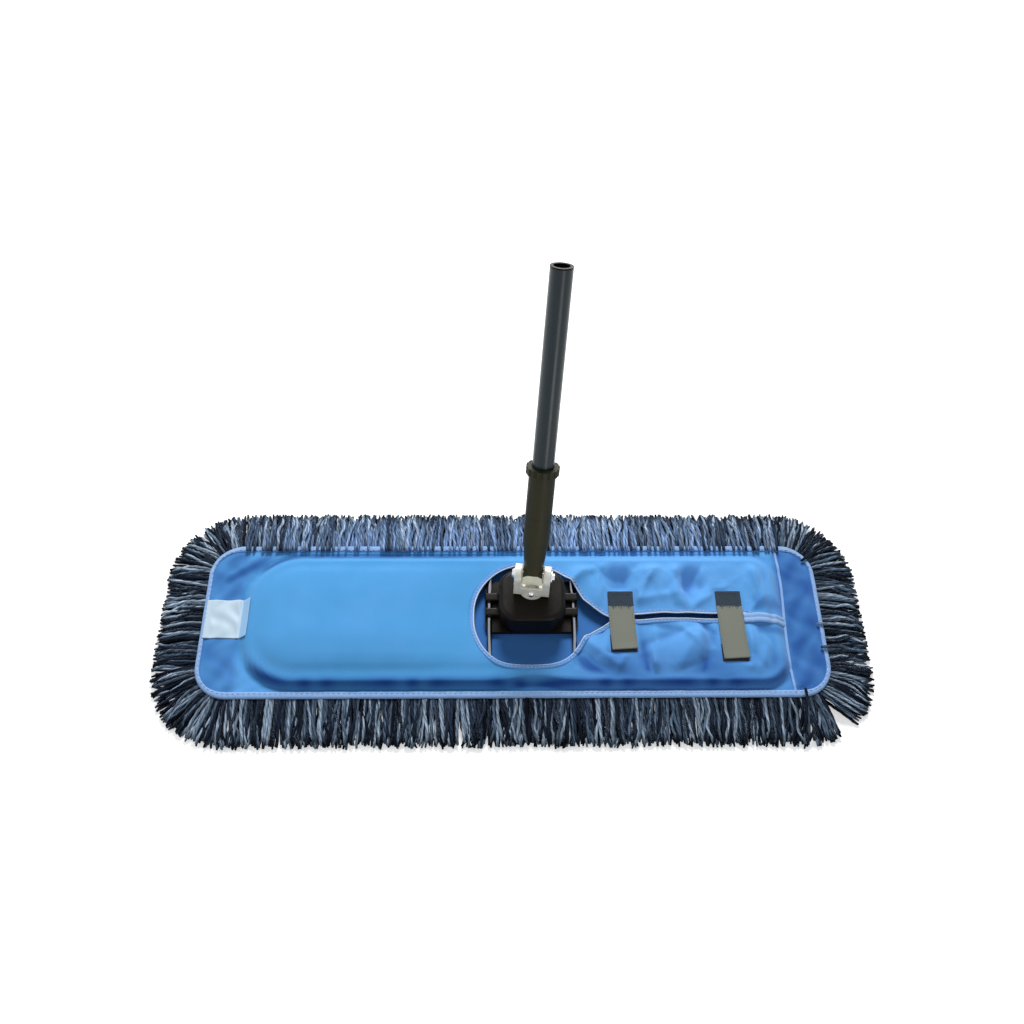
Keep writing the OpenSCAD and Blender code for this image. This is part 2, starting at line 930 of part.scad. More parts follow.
yarn_pile();
yarn_fringe();
backing_cloth();
pocket_hem();
pocket_side_walls();
pocket_end_walls();
pocket_roof();
hem_binding();
keyhole_binding();
care_label();
strap_anchor_inner();
strap_anchor_outer();
closure_strap_inner();
closure_strap_outer();
hook_patch_inner();
hook_patch_outer();
frame_sides();
frame_ends();
cross_wires();
clamp_plate();
connector_housing();
clamp_screws();
swivel_bolt();
nut_washer();
swivel_nut();
thrust_washer();
yoke();
tension_screw();
tilt_pin();
pin_clip();
friction_washers();
handle_socket();
grip_bush();
lock_collar();
handle_tube();
end_bush();
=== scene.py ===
# %% [markdown]
# # A pocket dust mop
# This lesson dresses the solids of a dust mop: a blue cloth pocket with a yarn fringe, slipped over a wire
# frame, and a handle on a swivelling yoke. The solids hold every place and size, so each new piece starts
# from the box of the solid that it stands for.

# %% The frame
import json
import math

import bmesh
import bpy
import numpy as np
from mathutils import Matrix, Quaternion, Vector


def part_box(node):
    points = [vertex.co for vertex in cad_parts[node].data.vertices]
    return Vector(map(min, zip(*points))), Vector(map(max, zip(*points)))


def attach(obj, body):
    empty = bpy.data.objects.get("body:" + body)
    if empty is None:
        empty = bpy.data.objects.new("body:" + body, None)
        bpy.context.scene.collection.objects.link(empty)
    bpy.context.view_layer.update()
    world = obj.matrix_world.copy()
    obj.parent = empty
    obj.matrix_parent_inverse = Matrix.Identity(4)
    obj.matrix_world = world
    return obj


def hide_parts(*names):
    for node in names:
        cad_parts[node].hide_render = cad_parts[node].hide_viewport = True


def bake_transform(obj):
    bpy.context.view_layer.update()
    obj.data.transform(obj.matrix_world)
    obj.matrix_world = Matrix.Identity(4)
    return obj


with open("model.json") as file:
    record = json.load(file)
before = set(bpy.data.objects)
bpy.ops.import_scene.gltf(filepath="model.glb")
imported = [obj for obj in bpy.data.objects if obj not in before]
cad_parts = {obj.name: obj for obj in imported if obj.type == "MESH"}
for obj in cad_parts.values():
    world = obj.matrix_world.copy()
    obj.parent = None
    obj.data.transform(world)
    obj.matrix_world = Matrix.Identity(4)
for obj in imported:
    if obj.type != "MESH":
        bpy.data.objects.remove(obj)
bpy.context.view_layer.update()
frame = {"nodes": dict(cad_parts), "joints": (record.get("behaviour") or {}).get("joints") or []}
scene = bpy.context.scene
MM = 0.001
TURN = 2 * math.pi
UP = np.array([0.0, 0.0, 1.0])
WHITE = (1.0, 1.0, 1.0, 1.0)
random = np.random.default_rng(24)

# %% [markdown]
# ## The camera
# The photograph looks down on the mop from in front. Its view was found by fitting the outline of the
# backing, the fringe and the leaning handle, so the camera is set by those numbers and not by eye.

# %% The camera
VIEW_AZIMUTH = math.radians(-2.328)
VIEW_HEIGHT = math.radians(58.149)
VIEW_ROLL = math.radians(1.973)
VIEW_DISTANCE = 1.2177
VIEW_TARGET = Vector((-0.0008, 0.1358, 0.0200))
VIEW_LENS = 36.716

camera = bpy.data.objects.new("camera", bpy.data.cameras.new("camera"))
scene.collection.objects.link(camera)
backwards = Vector((
    math.sin(VIEW_AZIMUTH) * math.cos(VIEW_HEIGHT),
    -math.cos(VIEW_AZIMUTH) * math.cos(VIEW_HEIGHT),
    math.sin(VIEW_HEIGHT),
))
camera.location = VIEW_TARGET + VIEW_DISTANCE * backwards
camera.rotation_mode = "QUATERNION"
camera.rotation_quaternion = (-backwards).to_track_quat("-Z", "Y") @ Quaternion((0, 0, 1), VIEW_ROLL)
camera.data.lens = VIEW_LENS
camera.data.clip_end = 30
scene.camera = camera
print("camera at", [round(v, 3) for v in camera.location])

# %% [markdown]
# ## Nodes by name
# Every finish below is a small tree of shader nodes. A few helpers keep the trees short: each adds one kind
# of node, feeds its inputs with plain values or with other nodes' sockets, and gives back the output that
# is needed.


# %% Node helpers
def feed(tree, target, value):
    """Give an input socket a link from another socket, or else a plain value."""
    if isinstance(value, bpy.types.NodeSocket):
        tree.links.new(value, target)
    else:
        target.default_value = value


def add_node(tree, kind, inputs=None, **settings):
    """Add a node to a tree, set its properties and feed its inputs, which go by name or by number."""
    made = tree.nodes.new(kind)
    for name, value in settings.items():
        setattr(made, name, value)
    for name, value in (inputs or {}).items():
        feed(tree, made.inputs[name], value)
    return made


def math_node(tree, operation, *operands):
    """A Math node whose operands are sockets or plain numbers."""
    return add_node(tree, "ShaderNodeMath", dict(enumerate(operands)), operation=operation).outputs[0]


def mix_colour(tree, share, first, second, blend="MIX"):
    """A colour mix: the share, and either colour, may be a socket or a plain value."""
    inputs = {0: share, 6: first, 7: second}
    return add_node(tree, "ShaderNodeMix", inputs, data_type="RGBA", blend_type=blend).outputs[2]


def map_range(tree, value, before=(0.0, 1.0), after=(0.0, 1.0)):
    """A value carried from one range to another, and held at its ends."""
    limits = dict(zip(("From Min", "From Max", "To Min", "To Max"), (*before, *after)))
    return add_node(tree, "ShaderNodeMapRange", {"Value": value, **limits}).outputs[0]


def noise(tree, place, scale, detail, roughness=0.5, distortion=0.0):
    """Cloudy noise round one half."""
    names = ("Vector", "Scale", "Detail", "Roughness", "Distortion")
    inputs = dict(zip(names, (place, scale, detail, roughness, distortion)))
    return add_node(tree, "ShaderNodeTexNoise", inputs).outputs[0]


def shade_ramp(tree, value, stops, interpolation="LINEAR"):
    """A colour ramp with two or more stops, each a place and a colour."""
    made = add_node(tree, "ShaderNodeValToRGB", {"Fac": value})
    made.color_ramp.interpolation = interpolation
    elements = made.color_ramp.elements
    for element, (place, shade) in ((elements[0], stops[0]), (elements[-1], stops[-1])):
        element.position, element.color = place, shade
    for place, shade in stops[1:-1]:
        elements.new(place).color = shade
    return made.outputs["Color"]


def axes_of(tree, vector):
    """The three parts of a vector."""
    return add_node(tree, "ShaderNodeSeparateXYZ", {0: vector}).outputs


def uv_axes(tree):
    """The two parts of the UV map."""
    return axes_of(tree, add_node(tree, "ShaderNodeUVMap", uv_map="UVMap").outputs[0])[:2]


def object_place(tree):
    """Where a point lies in its object's own axes."""
    return add_node(tree, "ShaderNodeTexCoord").outputs["Object"]


def mesh_value(tree, name):
    """A value that the mesh carries for every point."""
    return add_node(tree, "ShaderNodeAttribute", attribute_name=name).outputs["Fac"]


print("node helpers ready")

# %% [markdown]
# ## Materials and groups
# A material starts from one shader, and values that hold all over are set on the shader itself. Effects
# that several materials share are node groups with named sockets.


# %% Materials and groups
def colour(red, green, blue):
    """A colour in linear light from the 0 to 255 values that a picture shows."""
    shown = np.array([red, green, blue]) / 255
    linear = np.where(shown < 0.04045, shown / 12.92, ((shown + 0.055) / 1.055) ** 2.4)
    return (*linear.tolist(), 1.0)


def start_material(name, **sockets):
    """A material with a Principled shader. Values that hold all over are set on the shader itself."""
    made = bpy.data.materials.new(name)
    made.use_nodes = True
    shader = made.node_tree.nodes["Principled BSDF"]
    for socket, value in sockets.items():
        shader.inputs[socket.replace("_", " ")].default_value = value
    return made, made.node_tree, shader


def start_group(name, inputs, outputs):
    """An empty node group and its two ends. An input with a value is a number and one without is a vector.
    All outputs are numbers."""
    group = bpy.data.node_groups.new(name, "ShaderNodeTree")
    for socket, value in inputs.items():
        kind = "NodeSocketVector" if value is None else "NodeSocketFloat"
        made = group.interface.new_socket(socket, in_out="INPUT", socket_type=kind)
        if value is not None:
            made.default_value = value
    for socket in outputs:
        group.interface.new_socket(socket, in_out="OUTPUT", socket_type="NodeSocketFloat")
    return group, add_node(group, "NodeGroupInput").outputs, add_node(group, "NodeGroupOutput").inputs


def place_group(tree, group, **values):
    """Place a node group in a material, with its own values."""
    inputs = {name.replace("_", " "): value for name, value in values.items()}
    return add_node(tree, "ShaderNodeGroup", inputs, node_tree=group).outputs


def bump(tree, shader, height, strength, distance, **more):
    """Let a height roughen the shading of a surface."""
    inputs = {"Height": height, "Strength": strength, "Distance": distance, **more}
    feed(tree, shader.inputs["Normal"], add_node(tree, "ShaderNodeBump", inputs).outputs[0])


print("material helpers ready")

# %% [markdown]
# ## The studio
# The background of such a picture is plain white. The floor and the world look white to the camera and to
# reflections only, so the white adds no light to the mop, and the floor still keeps the mop's shadow. Away
# from the mop the floor fades to the white of the world, so no edge shows. A large soft lamp stands behind
# and above, as in the photograph, where the near walls of the pocket lie in shade.

# %% The studio
FLOOR_SIZE, FLOOR_DROP = 8.0, 0.1 * MM
FLOOR_PAINT, FLOOR_GLOW, FLOOR_FADE = (0.9, 0.9, 0.9, 1.0), 0.50, (0.9, 2.4)
WORLD_SHADE, WORLD_LIGHT = (0.94, 0.97, 1.0, 1.0), 0.26
LAMPS = (
    ("key", (0.12, 1.85, 1.60), 0.8, 62.0),
    ("fill", (0.62, -1.5, 0.42), 0.6, 4.0),
    ("rim", (-1.5, 0.1, 1.0), 0.7, 5.0),
)


def rays_that_see_white(tree):
    """One for the rays of the camera, of reflections and of transmission, and zero for the rest."""
    path = add_node(tree, "ShaderNodeLightPath").outputs
    seen = math_node(tree, "ADD", path["Is Camera Ray"], path["Is Glossy Ray"])
    seen = math_node(tree, "ADD", seen, path["Is Transmission Ray"])
    return math_node(tree, "MINIMUM", seen, 1.0)


def area_lamp(name, place, size, power):
    """A square lamp that looks at the middle of the mop."""
    lamp = bpy.data.objects.new(name, bpy.data.lights.new(name, "AREA"))
    lamp.data.size = size
    lamp.data.energy = power
    lamp.location = place
    lamp.rotation_mode = "QUATERNION"
    lamp.rotation_quaternion = (-Vector(place)).to_track_quat("-Z", "Y")
    scene.collection.objects.link(lamp)


scene.view_settings.view_transform = "Standard"
scene.world = bpy.data.worlds.new("studio")
scene.world.use_nodes = True
world_tree = scene.world.node_tree
soft_light = world_tree.nodes["Background"]
soft_light.inputs["Color"].default_value = WORLD_SHADE
soft_light.inputs["Strength"].default_value = WORLD_LIGHT
white_light = add_node(world_tree, "ShaderNodeBackground", {"Color": WHITE, "Strength": 1.0})
world_parts = {0: rays_that_see_white(world_tree), 1: soft_light.outputs[0], 2: white_light.outputs[0]}
world_mix = add_node(world_tree, "ShaderNodeMixShader", world_parts)
feed(world_tree, world_tree.nodes["World Output"].inputs["Surface"], world_mix.outputs[0])

floor_mesh = bpy.data.meshes.new("floor")
floor_mesh.from_pydata(
    [(x * FLOOR_SIZE / 2, y * FLOOR_SIZE / 2, -FLOOR_DROP) for x, y in ((-1, -1), (1, -1), (1, 1), (-1, 1))],
    [], [(0, 1, 2, 3)],
)
floor = bpy.data.objects.new("floor", floor_mesh)
scene.collection.objects.link(floor)
floor_finish = bpy.data.materials.new("floor")
floor_finish.use_nodes = True
floor_tree = floor_finish.node_tree
floor_tree.nodes.remove(floor_tree.nodes["Principled BSDF"])
off_middle = add_node(floor_tree, "ShaderNodeVectorMath", {0: object_place(floor_tree)}, operation="LENGTH")
glow_level = map_range(floor_tree, off_middle.outputs["Value"], FLOOR_FADE, (FLOOR_GLOW, 1.0))
glow_seen = math_node(floor_tree, "MULTIPLY", rays_that_see_white(floor_tree), glow_level)
paint = add_node(floor_tree, "ShaderNodeBsdfDiffuse", {"Color": FLOOR_PAINT})
glow = add_node(floor_tree, "ShaderNodeEmission", {"Color": WHITE, "Strength": glow_seen})
floor_sum = add_node(floor_tree, "ShaderNodeAddShader", {0: paint.outputs[0], 1: glow.outputs[0]})
feed(floor_tree, floor_tree.nodes["Material Output"].inputs["Surface"], floor_sum.outputs[0])
floor.data.materials.append(floor_finish)
for lamp in LAMPS:
    area_lamp(*lamp)
print("studio: floor, world and", len(LAMPS), "lamps")

# %% [markdown]
# ## Meshes from whole arrays
# A surface here is a function of two parameters. The function gives a grid of points, and one helper puts
# any grid into a mesh: it counts the faces, writes a UV map from the same two parameters and smooths the
# shading. The pieces that repeat, such as strands and stitches, are many small grids in one array.


# %% Mesh helpers
def put_mesh(name, points, faces, uv=None, values=None):
    """A mesh object from arrays: points (n, 3) in metres, faces as arrays of 3, 4 or more corners a row, uv
    for every corner in the same order, and values for every point by name."""
    mesh = bpy.data.meshes.new(name)
    corners = np.concatenate([block.ravel() for block in faces]).astype(np.int32)
    counts = np.concatenate([np.full(len(block), block.shape[1]) for block in faces]).astype(np.int32)
    starts = np.concatenate([[0], np.cumsum(counts)[:-1]]).astype(np.int32)
    mesh.vertices.add(len(points))
    mesh.vertices.foreach_set("co", np.ascontiguousarray(points, np.float32).ravel())
    mesh.loops.add(len(corners))
    mesh.loops.foreach_set("vertex_index", corners)
    mesh.polygons.add(len(counts))
    mesh.polygons.foreach_set("loop_start", starts)
    mesh.polygons.foreach_set("loop_total", counts)
    mesh.polygons.foreach_set("use_smooth", np.ones(len(counts), bool))
    if uv is not None:
        layer = mesh.uv_layers.new(name="UVMap")
        layer.data.foreach_set("uv", np.ascontiguousarray(uv, np.float32).ravel())
    for key, value in (values or {}).items():
        attribute = mesh.attributes.new(key, "FLOAT", "POINT")
        attribute.data.foreach_set("value", np.ascontiguousarray(value, np.float32).ravel())
    mesh.update(calc_edges=True)
    mesh.validate()
    made = bpy.data.objects.new(name, mesh)
    scene.collection.objects.link(made)
    return made


def grid_faces(rows, columns, wrap_rows=False, wrap_columns=False):
    """Corner numbers of the quads of a grid, row by row, and the (row, column) step of every corner, which
    runs on past the seam where the grid is wrapped."""
    quad_rows = np.arange(rows if wrap_rows else rows - 1)
    quad_columns = np.arange(columns if wrap_columns else columns - 1)
    i, j = np.meshgrid(quad_rows, quad_columns, indexing="ij")
    corners = [np.stack([i + a, j + b], -1) for a, b in ((0, 0), (1, 0), (1, 1), (0, 1))]
    steps = np.stack(corners, 2).reshape(-1, 4, 2)
    return (steps[..., 0] % rows) * columns + steps[..., 1] % columns, steps


def put_grid(name, points, wrap_rows=False, wrap_columns=False, caps=False, flip=False, values=None):
    """A mesh from one grid of points (rows, columns, 3). Caps close the two ends of a wrapped section that
    is carried along the rows. Values are written for every point by name."""
    rows, columns = points.shape[:2]
    quads, steps = grid_faces(rows, columns, wrap_rows, wrap_columns)
    uv = steps / np.array([max(rows - 1, 1), max(columns - 1, 1)])
    if flip:
        quads, uv = quads[:, ::-1], uv[:, ::-1]
    faces = [quads]
    uv = uv.reshape(-1, 2)
    if caps:
        first, last = np.arange(columns), (rows - 1) * columns + np.arange(columns)
        faces.append(np.stack([first, last[::-1]]))
        uv = np.concatenate([uv, np.zeros((2 * columns, 2))])
    return put_mesh(name, points.reshape(-1, 3), faces, uv, values)


print("mesh helpers ready")

# %% [markdown]
# ## Curves and lines
# Three curves shape most surfaces: a smooth step, a bell and a bent wave, all with their places and widths
# in millimetres. Lines are measured along their length. A finished mesh is dressed with its finish and,
# where one is named, the body that it rides on.


# %% Curves and lines
def unit(vectors):
    """Vectors scaled to length one."""
    return vectors / np.maximum(np.linalg.norm(vectors, axis=-1, keepdims=True), 1e-12)


def smooth_step(values):
    """Zero below 0, one above 1, and a smooth S between."""
    held = np.clip(values, 0.0, 1.0)
    return held * held * (3 - 2 * held)


def ramp(values, start, width):
    """A smooth S that starts from zero at one place and comes to one a width later."""
    return smooth_step((values - start * MM) / (width * MM))


def bell(values, middle, width):
    """A bell curve: e to the power of minus the square of the distance from the middle, in widths."""
    return np.exp(-(((values - middle * MM) / (width * MM)) ** 2))


def wavy(first, length, bend, second, slow):
    """A sine along one direction, whose phase a slower sine along a second direction bends to and fro."""
    return np.sin(first / (length * MM) + bend * np.sin(second / (slow * MM)))


def lengths_along(line):
    """How far along a line each of its points lies."""
    return np.concatenate([[0], np.cumsum(np.linalg.norm(np.diff(line, axis=0), axis=1))])


def at_lengths(line, places):
    """Points of a line at distances along it."""
    travelled = lengths_along(line)
    return np.stack([np.interp(places, travelled, column) for column in line.T], -1)


def thicken(piece, thickness):
    """Give a sheet its thickness, below the surface that was worked out."""
    piece.modifiers.new("thickness", "SOLIDIFY").thickness = thickness


def dress(piece, material, body=None):
    """Give a piece its finish and, where a body is named, the body that it rides on."""
    piece.data.materials.clear()
    piece.data.materials.append(material)
    if body:
        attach(piece, body)
    return piece


print("curves and lines ready")

# %% [markdown]
# ## Shared effects
# Woven cloth, webbing and tape share one weave: two waves of threads that cross, worked out from a pair of
# coordinates. Moulded and painted pieces share a fine grain. Both are node groups with named sockets, so
# each material places the same group with its own scale.

# %% Shared effects
weave, weave_in, weave_out = start_group(
    "weave",
    {"Coordinates": None, "Threads": 900.0, "Patch Scale": 14.0},
    ("Height", "Thread", "Patches", "Creases"),
)
weave_place = weave_in["Coordinates"]
weave_turns = math_node(weave, "MULTIPLY", weave_in["Threads"], TURN)
warp, weft = (
    math_node(weave, "SINE", math_node(weave, "MULTIPLY", part, weave_turns))
    for part in axes_of(weave, weave_place)[:2]
)
crossing = math_node(weave, "MULTIPLY", warp, weft)
weave_fuzz = noise(weave, weave_place, 900.0, 2.0)
feed(weave, weave_out["Height"], math_node(weave, "MULTIPLY_ADD", crossing, 0.5, weave_fuzz))
feed(weave, weave_out["Thread"], math_node(weave, "MULTIPLY_ADD", crossing, 0.5, 0.5))
feed(weave, weave_out["Patches"], noise(weave, weave_place, weave_in["Patch Scale"], 5.0, 0.6))
feed(weave, weave_out["Creases"], noise(weave, weave_place, 26.0, 3.0, 0.45, 0.25))

grain, grain_in, grain_out = start_group("grain", {"Scale": 700.0, "Scuff Scale": 30.0}, ("Height", "Scuffs"))
grain_place = object_place(grain)
grain_scuffs = noise(grain, grain_place, grain_in["Scuff Scale"], 6.0, 0.7, 0.6)
feed(grain, grain_out["Height"], noise(grain, grain_place, grain_in["Scale"], 3.0, 0.6))
feed(grain, grain_out["Scuffs"], map_range(grain, grain_scuffs, (0.42, 0.72)))
print("node groups:", weave.name, grain.name)

# %% [markdown]
# ## The way round the mop
# Backing, binding and fringe all follow one outline, a rectangle with round corners. Its core is the
# rectangle of the corners' centres. The place on the core and the outward angle both change evenly with the
# distance along the outline, so plain interpolation between nine knots gives them for any number of points
# at once.

# %% The way round the mop
backing_low, backing_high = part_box("backing_cloth")
fringe_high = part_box("yarn_fringe")[1]
BACKING_CORNER = 36 * MM
FRINGE_REACH = fringe_high.x - backing_high.x
core_l = backing_high.x - BACKING_CORNER
core_d = backing_high.y - BACKING_CORNER
corner_way = math.pi / 2 * (BACKING_CORNER + FRINGE_REACH / 2)
half_round = (2 * core_d, corner_way, 2 * core_l, corner_way)
rim_knots = np.cumsum([0, *half_round, *half_round])
RIM_LENGTH = rim_knots[-1]
core_x = core_l * np.array([1, 1, 1, -1, -1, -1, -1, 1, 1])
core_y = core_d * np.array([-1, 1, 1, 1, 1, -1, -1, -1, -1])
core_angle = math.pi / 2 * np.array([0, 0, 1, 1, 2, 2, 3, 3, 4])


def round_the_rim(way):
    """Corner centre, outward direction and forward direction at distances along the outline."""
    way = np.mod(way, RIM_LENGTH)
    centre = np.stack([np.interp(way, rim_knots, core_x), np.interp(way, rim_knots, core_y)], -1)
    angle = np.interp(way, rim_knots, core_angle)
    out = np.stack([np.cos(angle), np.sin(angle)], -1)
    return centre, out, np.stack([-out[..., 1], out[..., 0]], -1)


def carry_round(profile, count):
    """A closed section carried round the outline: profile (k, 2) holds the distance outside the backing's
    edge and the height of each point."""
    centre, out, _ = round_the_rim(np.linspace(0, RIM_LENGTH, count, endpoint=False))
    flat = centre[:, None] + (BACKING_CORNER + profile[None, :, :1]) * out[:, None]
    return np.concatenate([flat, np.broadcast_to(profile[None, :, 1:], (*flat.shape[:2], 1))], -1)


print("outline:", round(RIM_LENGTH, 3), "m round, fringe", round(FRINGE_REACH / MM, 1), "mm")

# %% [markdown]
# ## Yarn
# Mop yarn is three plies twisted together, some navy and some grey or white. A strand is a tube with six
# sides whose radius swells and dips, so it has three lobes, and each ring turns on a sixth of a turn from
# the last, so the lobes wind round it. The UV map runs with the plies, so the finish gives each ply of each
# strand its own shade and paints shade into the creases between them. Along a strand, painted shade makes
# it dark at the seam and again at the cut, and painted light makes it paler towards the end; bleached
# strands are left out of this and are palest at the seam.

# %% Yarn finish
PLIES = 3.0
YARN_SHADES = (
    (0.0, colour(11, 16, 28)), (0.40, colour(27, 36, 53)), (0.60, colour(96, 116, 138)),
    (0.80, colour(168, 188, 210)),
)
YARN_BLEACHED = colour(148, 182, 232)
# Levels of painted shade and light along a strand: dark at the seam, paler towards the end, dark at the cut.
YARN_PAINTED_LEVELS = ((0.02, 0.5), (0.3, 0.8), (0.62, 1.2), (0.86, 1.15), (0.98, 0.6))
yarn, yarn_tree, yarn_shader = start_material("yarn", Roughness=0.95, Specular_IOR_Level=0.1)
yarn_along, yarn_across = uv_axes(yarn_tree)
yarn_strand = mesh_value(yarn_tree, "strand")
yarn_round = math_node(yarn_tree, "MULTIPLY", yarn_across, PLIES)
yarn_ply = {"X": math_node(yarn_tree, "FLOOR", yarn_round), "Y": yarn_strand}
yarn_cells = {"Vector": add_node(yarn_tree, "ShaderNodeCombineXYZ", yarn_ply).outputs[0]}
yarn_vary = add_node(yarn_tree, "ShaderNodeTexWhiteNoise", yarn_cells, noise_dimensions="3D")
yarn_tint = map_range(yarn_tree, yarn_vary.outputs["Value"], after=(0.55, 1.15))
yarn_pick = add_node(yarn_tree, "ShaderNodeTexWhiteNoise", {"W": yarn_strand}, noise_dimensions="1D")
yarn_dyed = shade_ramp(yarn_tree, yarn_pick.outputs["Value"], YARN_SHADES, "CONSTANT")
yarn_within = math_node(yarn_tree, "FRACT", yarn_round)
yarn_crease = math_node(yarn_tree, "ABSOLUTE", math_node(yarn_tree, "SUBTRACT", yarn_within, 0.5))
# Painted shade in the creases between the plies.
yarn_crease_shade = map_range(yarn_tree, yarn_crease, (0.2, 0.5), (1.0, 0.35))
yarn_faded = map_range(yarn_tree, yarn_along, (0.25, 1.0), (1.9, 0.15))
yarn_bleach = math_node(yarn_tree, "MULTIPLY", mesh_value(yarn_tree, "bleach"), yarn_faded)
# Painted shade and light along each strand, left out where a strand is bleached.
yarn_level_stops = [(place, (level, level, level, 1.0)) for place, level in YARN_PAINTED_LEVELS]
yarn_painted_shade = mix_colour(yarn_tree, yarn_bleach, shade_ramp(yarn_tree, yarn_along, yarn_level_stops), WHITE)
yarn_shade = mix_colour(yarn_tree, yarn_bleach, yarn_dyed, YARN_BLEACHED)
for factor in (yarn_painted_shade, yarn_crease_shade, yarn_tint):
    yarn_shade = mix_colour(yarn_tree, 1.0, yarn_shade, factor, "MULTIPLY")
yarn_fibre = noise(yarn_tree, object_place(yarn_tree), 220.0, 4.0, 0.7)
yarn_shade = mix_colour(yarn_tree, 0.45, yarn_shade, yarn_fibre, "OVERLAY")
feed(yarn_tree, yarn_shader.inputs["Base Color"], yarn_shade)
bump(yarn_tree, yarn_shader, yarn_fibre, 0.6, 0.4 * MM)
print("finish:", yarn.name)

# %% [markdown]
# ## Strands
# Every strand of yarn and every stitch is a tube along its own centre line, and all tubes of a piece are
# worked out at once, as one array. Slow waves round the outline gather neighbouring strands into tufts.

# %% Strands
STRAND_R, STRAND_RINGS, STRAND_SIDES = 1.65 * MM, 11, 6
LOBE_OUT, LOBE_IN, ROOT_SWELL, TIP_SWELL = 1.12, 0.84, 0.8, 0.62
CUT_UV = (0.5, 0.1)


def strands(name, centres, radius, strand, bleach=0.0):
    """Lobed and twisted tubes along centre lines (n, rings, 3). The radius swells on every other side, each
    ring is turned on by a sixth of a turn, and the last ring is drawn in to round the cut end."""
    count, rings = centres.shape[:2]
    ahead = unit(np.gradient(centres, axis=1))
    side = unit(np.cross(ahead, UP))
    above = np.cross(side, ahead)
    sides = np.arange(STRAND_SIDES)
    angle = TURN * sides / STRAND_SIDES + TURN / 6 * np.arange(rings)[:, None] + TURN * strand[:, None, None]
    lobes = np.where(sides % 2 == 0, LOBE_OUT, LOBE_IN)
    swell = np.ones(rings)
    swell[0], swell[-1] = ROOT_SWELL, TIP_SWELL
    reach = radius[:, None, None] * swell[:, None] * lobes
    spokes = np.cos(angle)[..., None] * side[:, :, None] + np.sin(angle)[..., None] * above[:, :, None]
    points = centres[:, :, None] + reach[..., None] * spokes
    quads, steps = grid_faces(rings, STRAND_SIDES, wrap_columns=True)
    uv = np.stack([steps[..., 0] / (rings - 1), (steps[..., 1] + 0.5) / STRAND_SIDES], -1)
    uv = np.tile(uv[:, ::-1].reshape(-1, 2), (count, 1))
    ends = np.stack([sides[::-1], (rings - 1) * STRAND_SIDES + sides])
    first = np.arange(count)[:, None, None] * rings * STRAND_SIDES
    faces = [(first + quads[:, ::-1]).reshape(-1, 4), (first + ends).reshape(-1, STRAND_SIDES)]
    values = {
        "strand": np.repeat(strand * 100, rings * STRAND_SIDES),
        "bleach": np.repeat(np.broadcast_to(bleach, count), rings * STRAND_SIDES),
    }
    cut_uv = np.tile(CUT_UV, (2 * count * STRAND_SIDES, 1))
    return put_mesh(name, points.reshape(-1, 3), faces, np.concatenate([uv, cut_uv]), values)


def slow_wave(way, periods, seed):
    """A wave round the outline that closes on itself: a sum of sines with whole numbers of periods."""
    phases = np.random.default_rng(seed).uniform(0, TURN, len(periods))
    waves = [np.sin(TURN * k * way / RIM_LENGTH + p) for k, p in zip(periods, phases)]
    return sum(waves) / math.sqrt(len(periods))


print("strand:", STRAND_RINGS, "rings of", STRAND_SIDES, "points")

# %% [markdown]
# ## The fringe
# The strands leave the seam under the backing, arch over and fall to the floor, all cut to nearly one
# length. They lie in layers: the upper ones start high and arch most, the lowest ones lie on the floor. A
# last layer, mostly on the far side, has flopped up over the edge of the hem. Neighbours lean the same way,
# and at one place near the right corner they part. Each side has its parts of the outline, the share of its
# last layer that is there, and how far its strands are bleached.

# %% The fringe
STRAND_PITCH, STRAND_SHIFT = 2.8 * MM, 0.3
LAYERS = 5
LAYER_ROOT_Z = np.array([4.2, 6.6, 9.0, 10.4, 18.9]) * MM
LAYER_TIP_Z = np.array([2.3, 2.6, 3.6, 5.0, 6.5]) * MM
LAYER_HUMP = np.array([0.5, 1.6, 2.8, 3.9, 1.2]) * MM
LAYER_LENGTH = np.array([1.0, 0.99, 0.97, 0.94, 0.86])
LEAN_WAVES = ((0.07, (23, 31, 47, 58), 3), (0.05, (90, 131, 170), 5))
LEAN_SPREAD, ROOT_LAP, CURL, FALL = 0.10, 7 * MM, 1.9 * MM, 1.8
LENGTH_SPREAD, TIP_Z_SPREAD, HUMP_SPREAD = (0.88, 1.025), (0.85, 1.25), (0.75, 1.2)
RADIUS_SPREAD, CURL_TURNS, FLOOR_GAP = (0.85, 1.12), (0.8, 1.7), 1.15
HUMP_GAIN, HUMP_PERIODS, HUMP_SEED = 0.25, (19, 41, 67), 8
PARTING, PARTING_CORNER = np.array([345, -117]) * MM, (280 * MM, -50 * MM)
PARTING_WIDTH, PARTING_LEAN = 26 * MM, 0.42
BLEACHED_REACH, BLEACHED_LEAST = 210 * MM, 0.3
FRINGE_SIDES = {
    "far": ((2,), 0.7, 0.95),
    "left": ((3, 4, 5), 0.0, 0.1),
    "near": ((6,), 0.0, 0.1),
    "right": ((7, 0, 1), 0.05, 0.1),
}

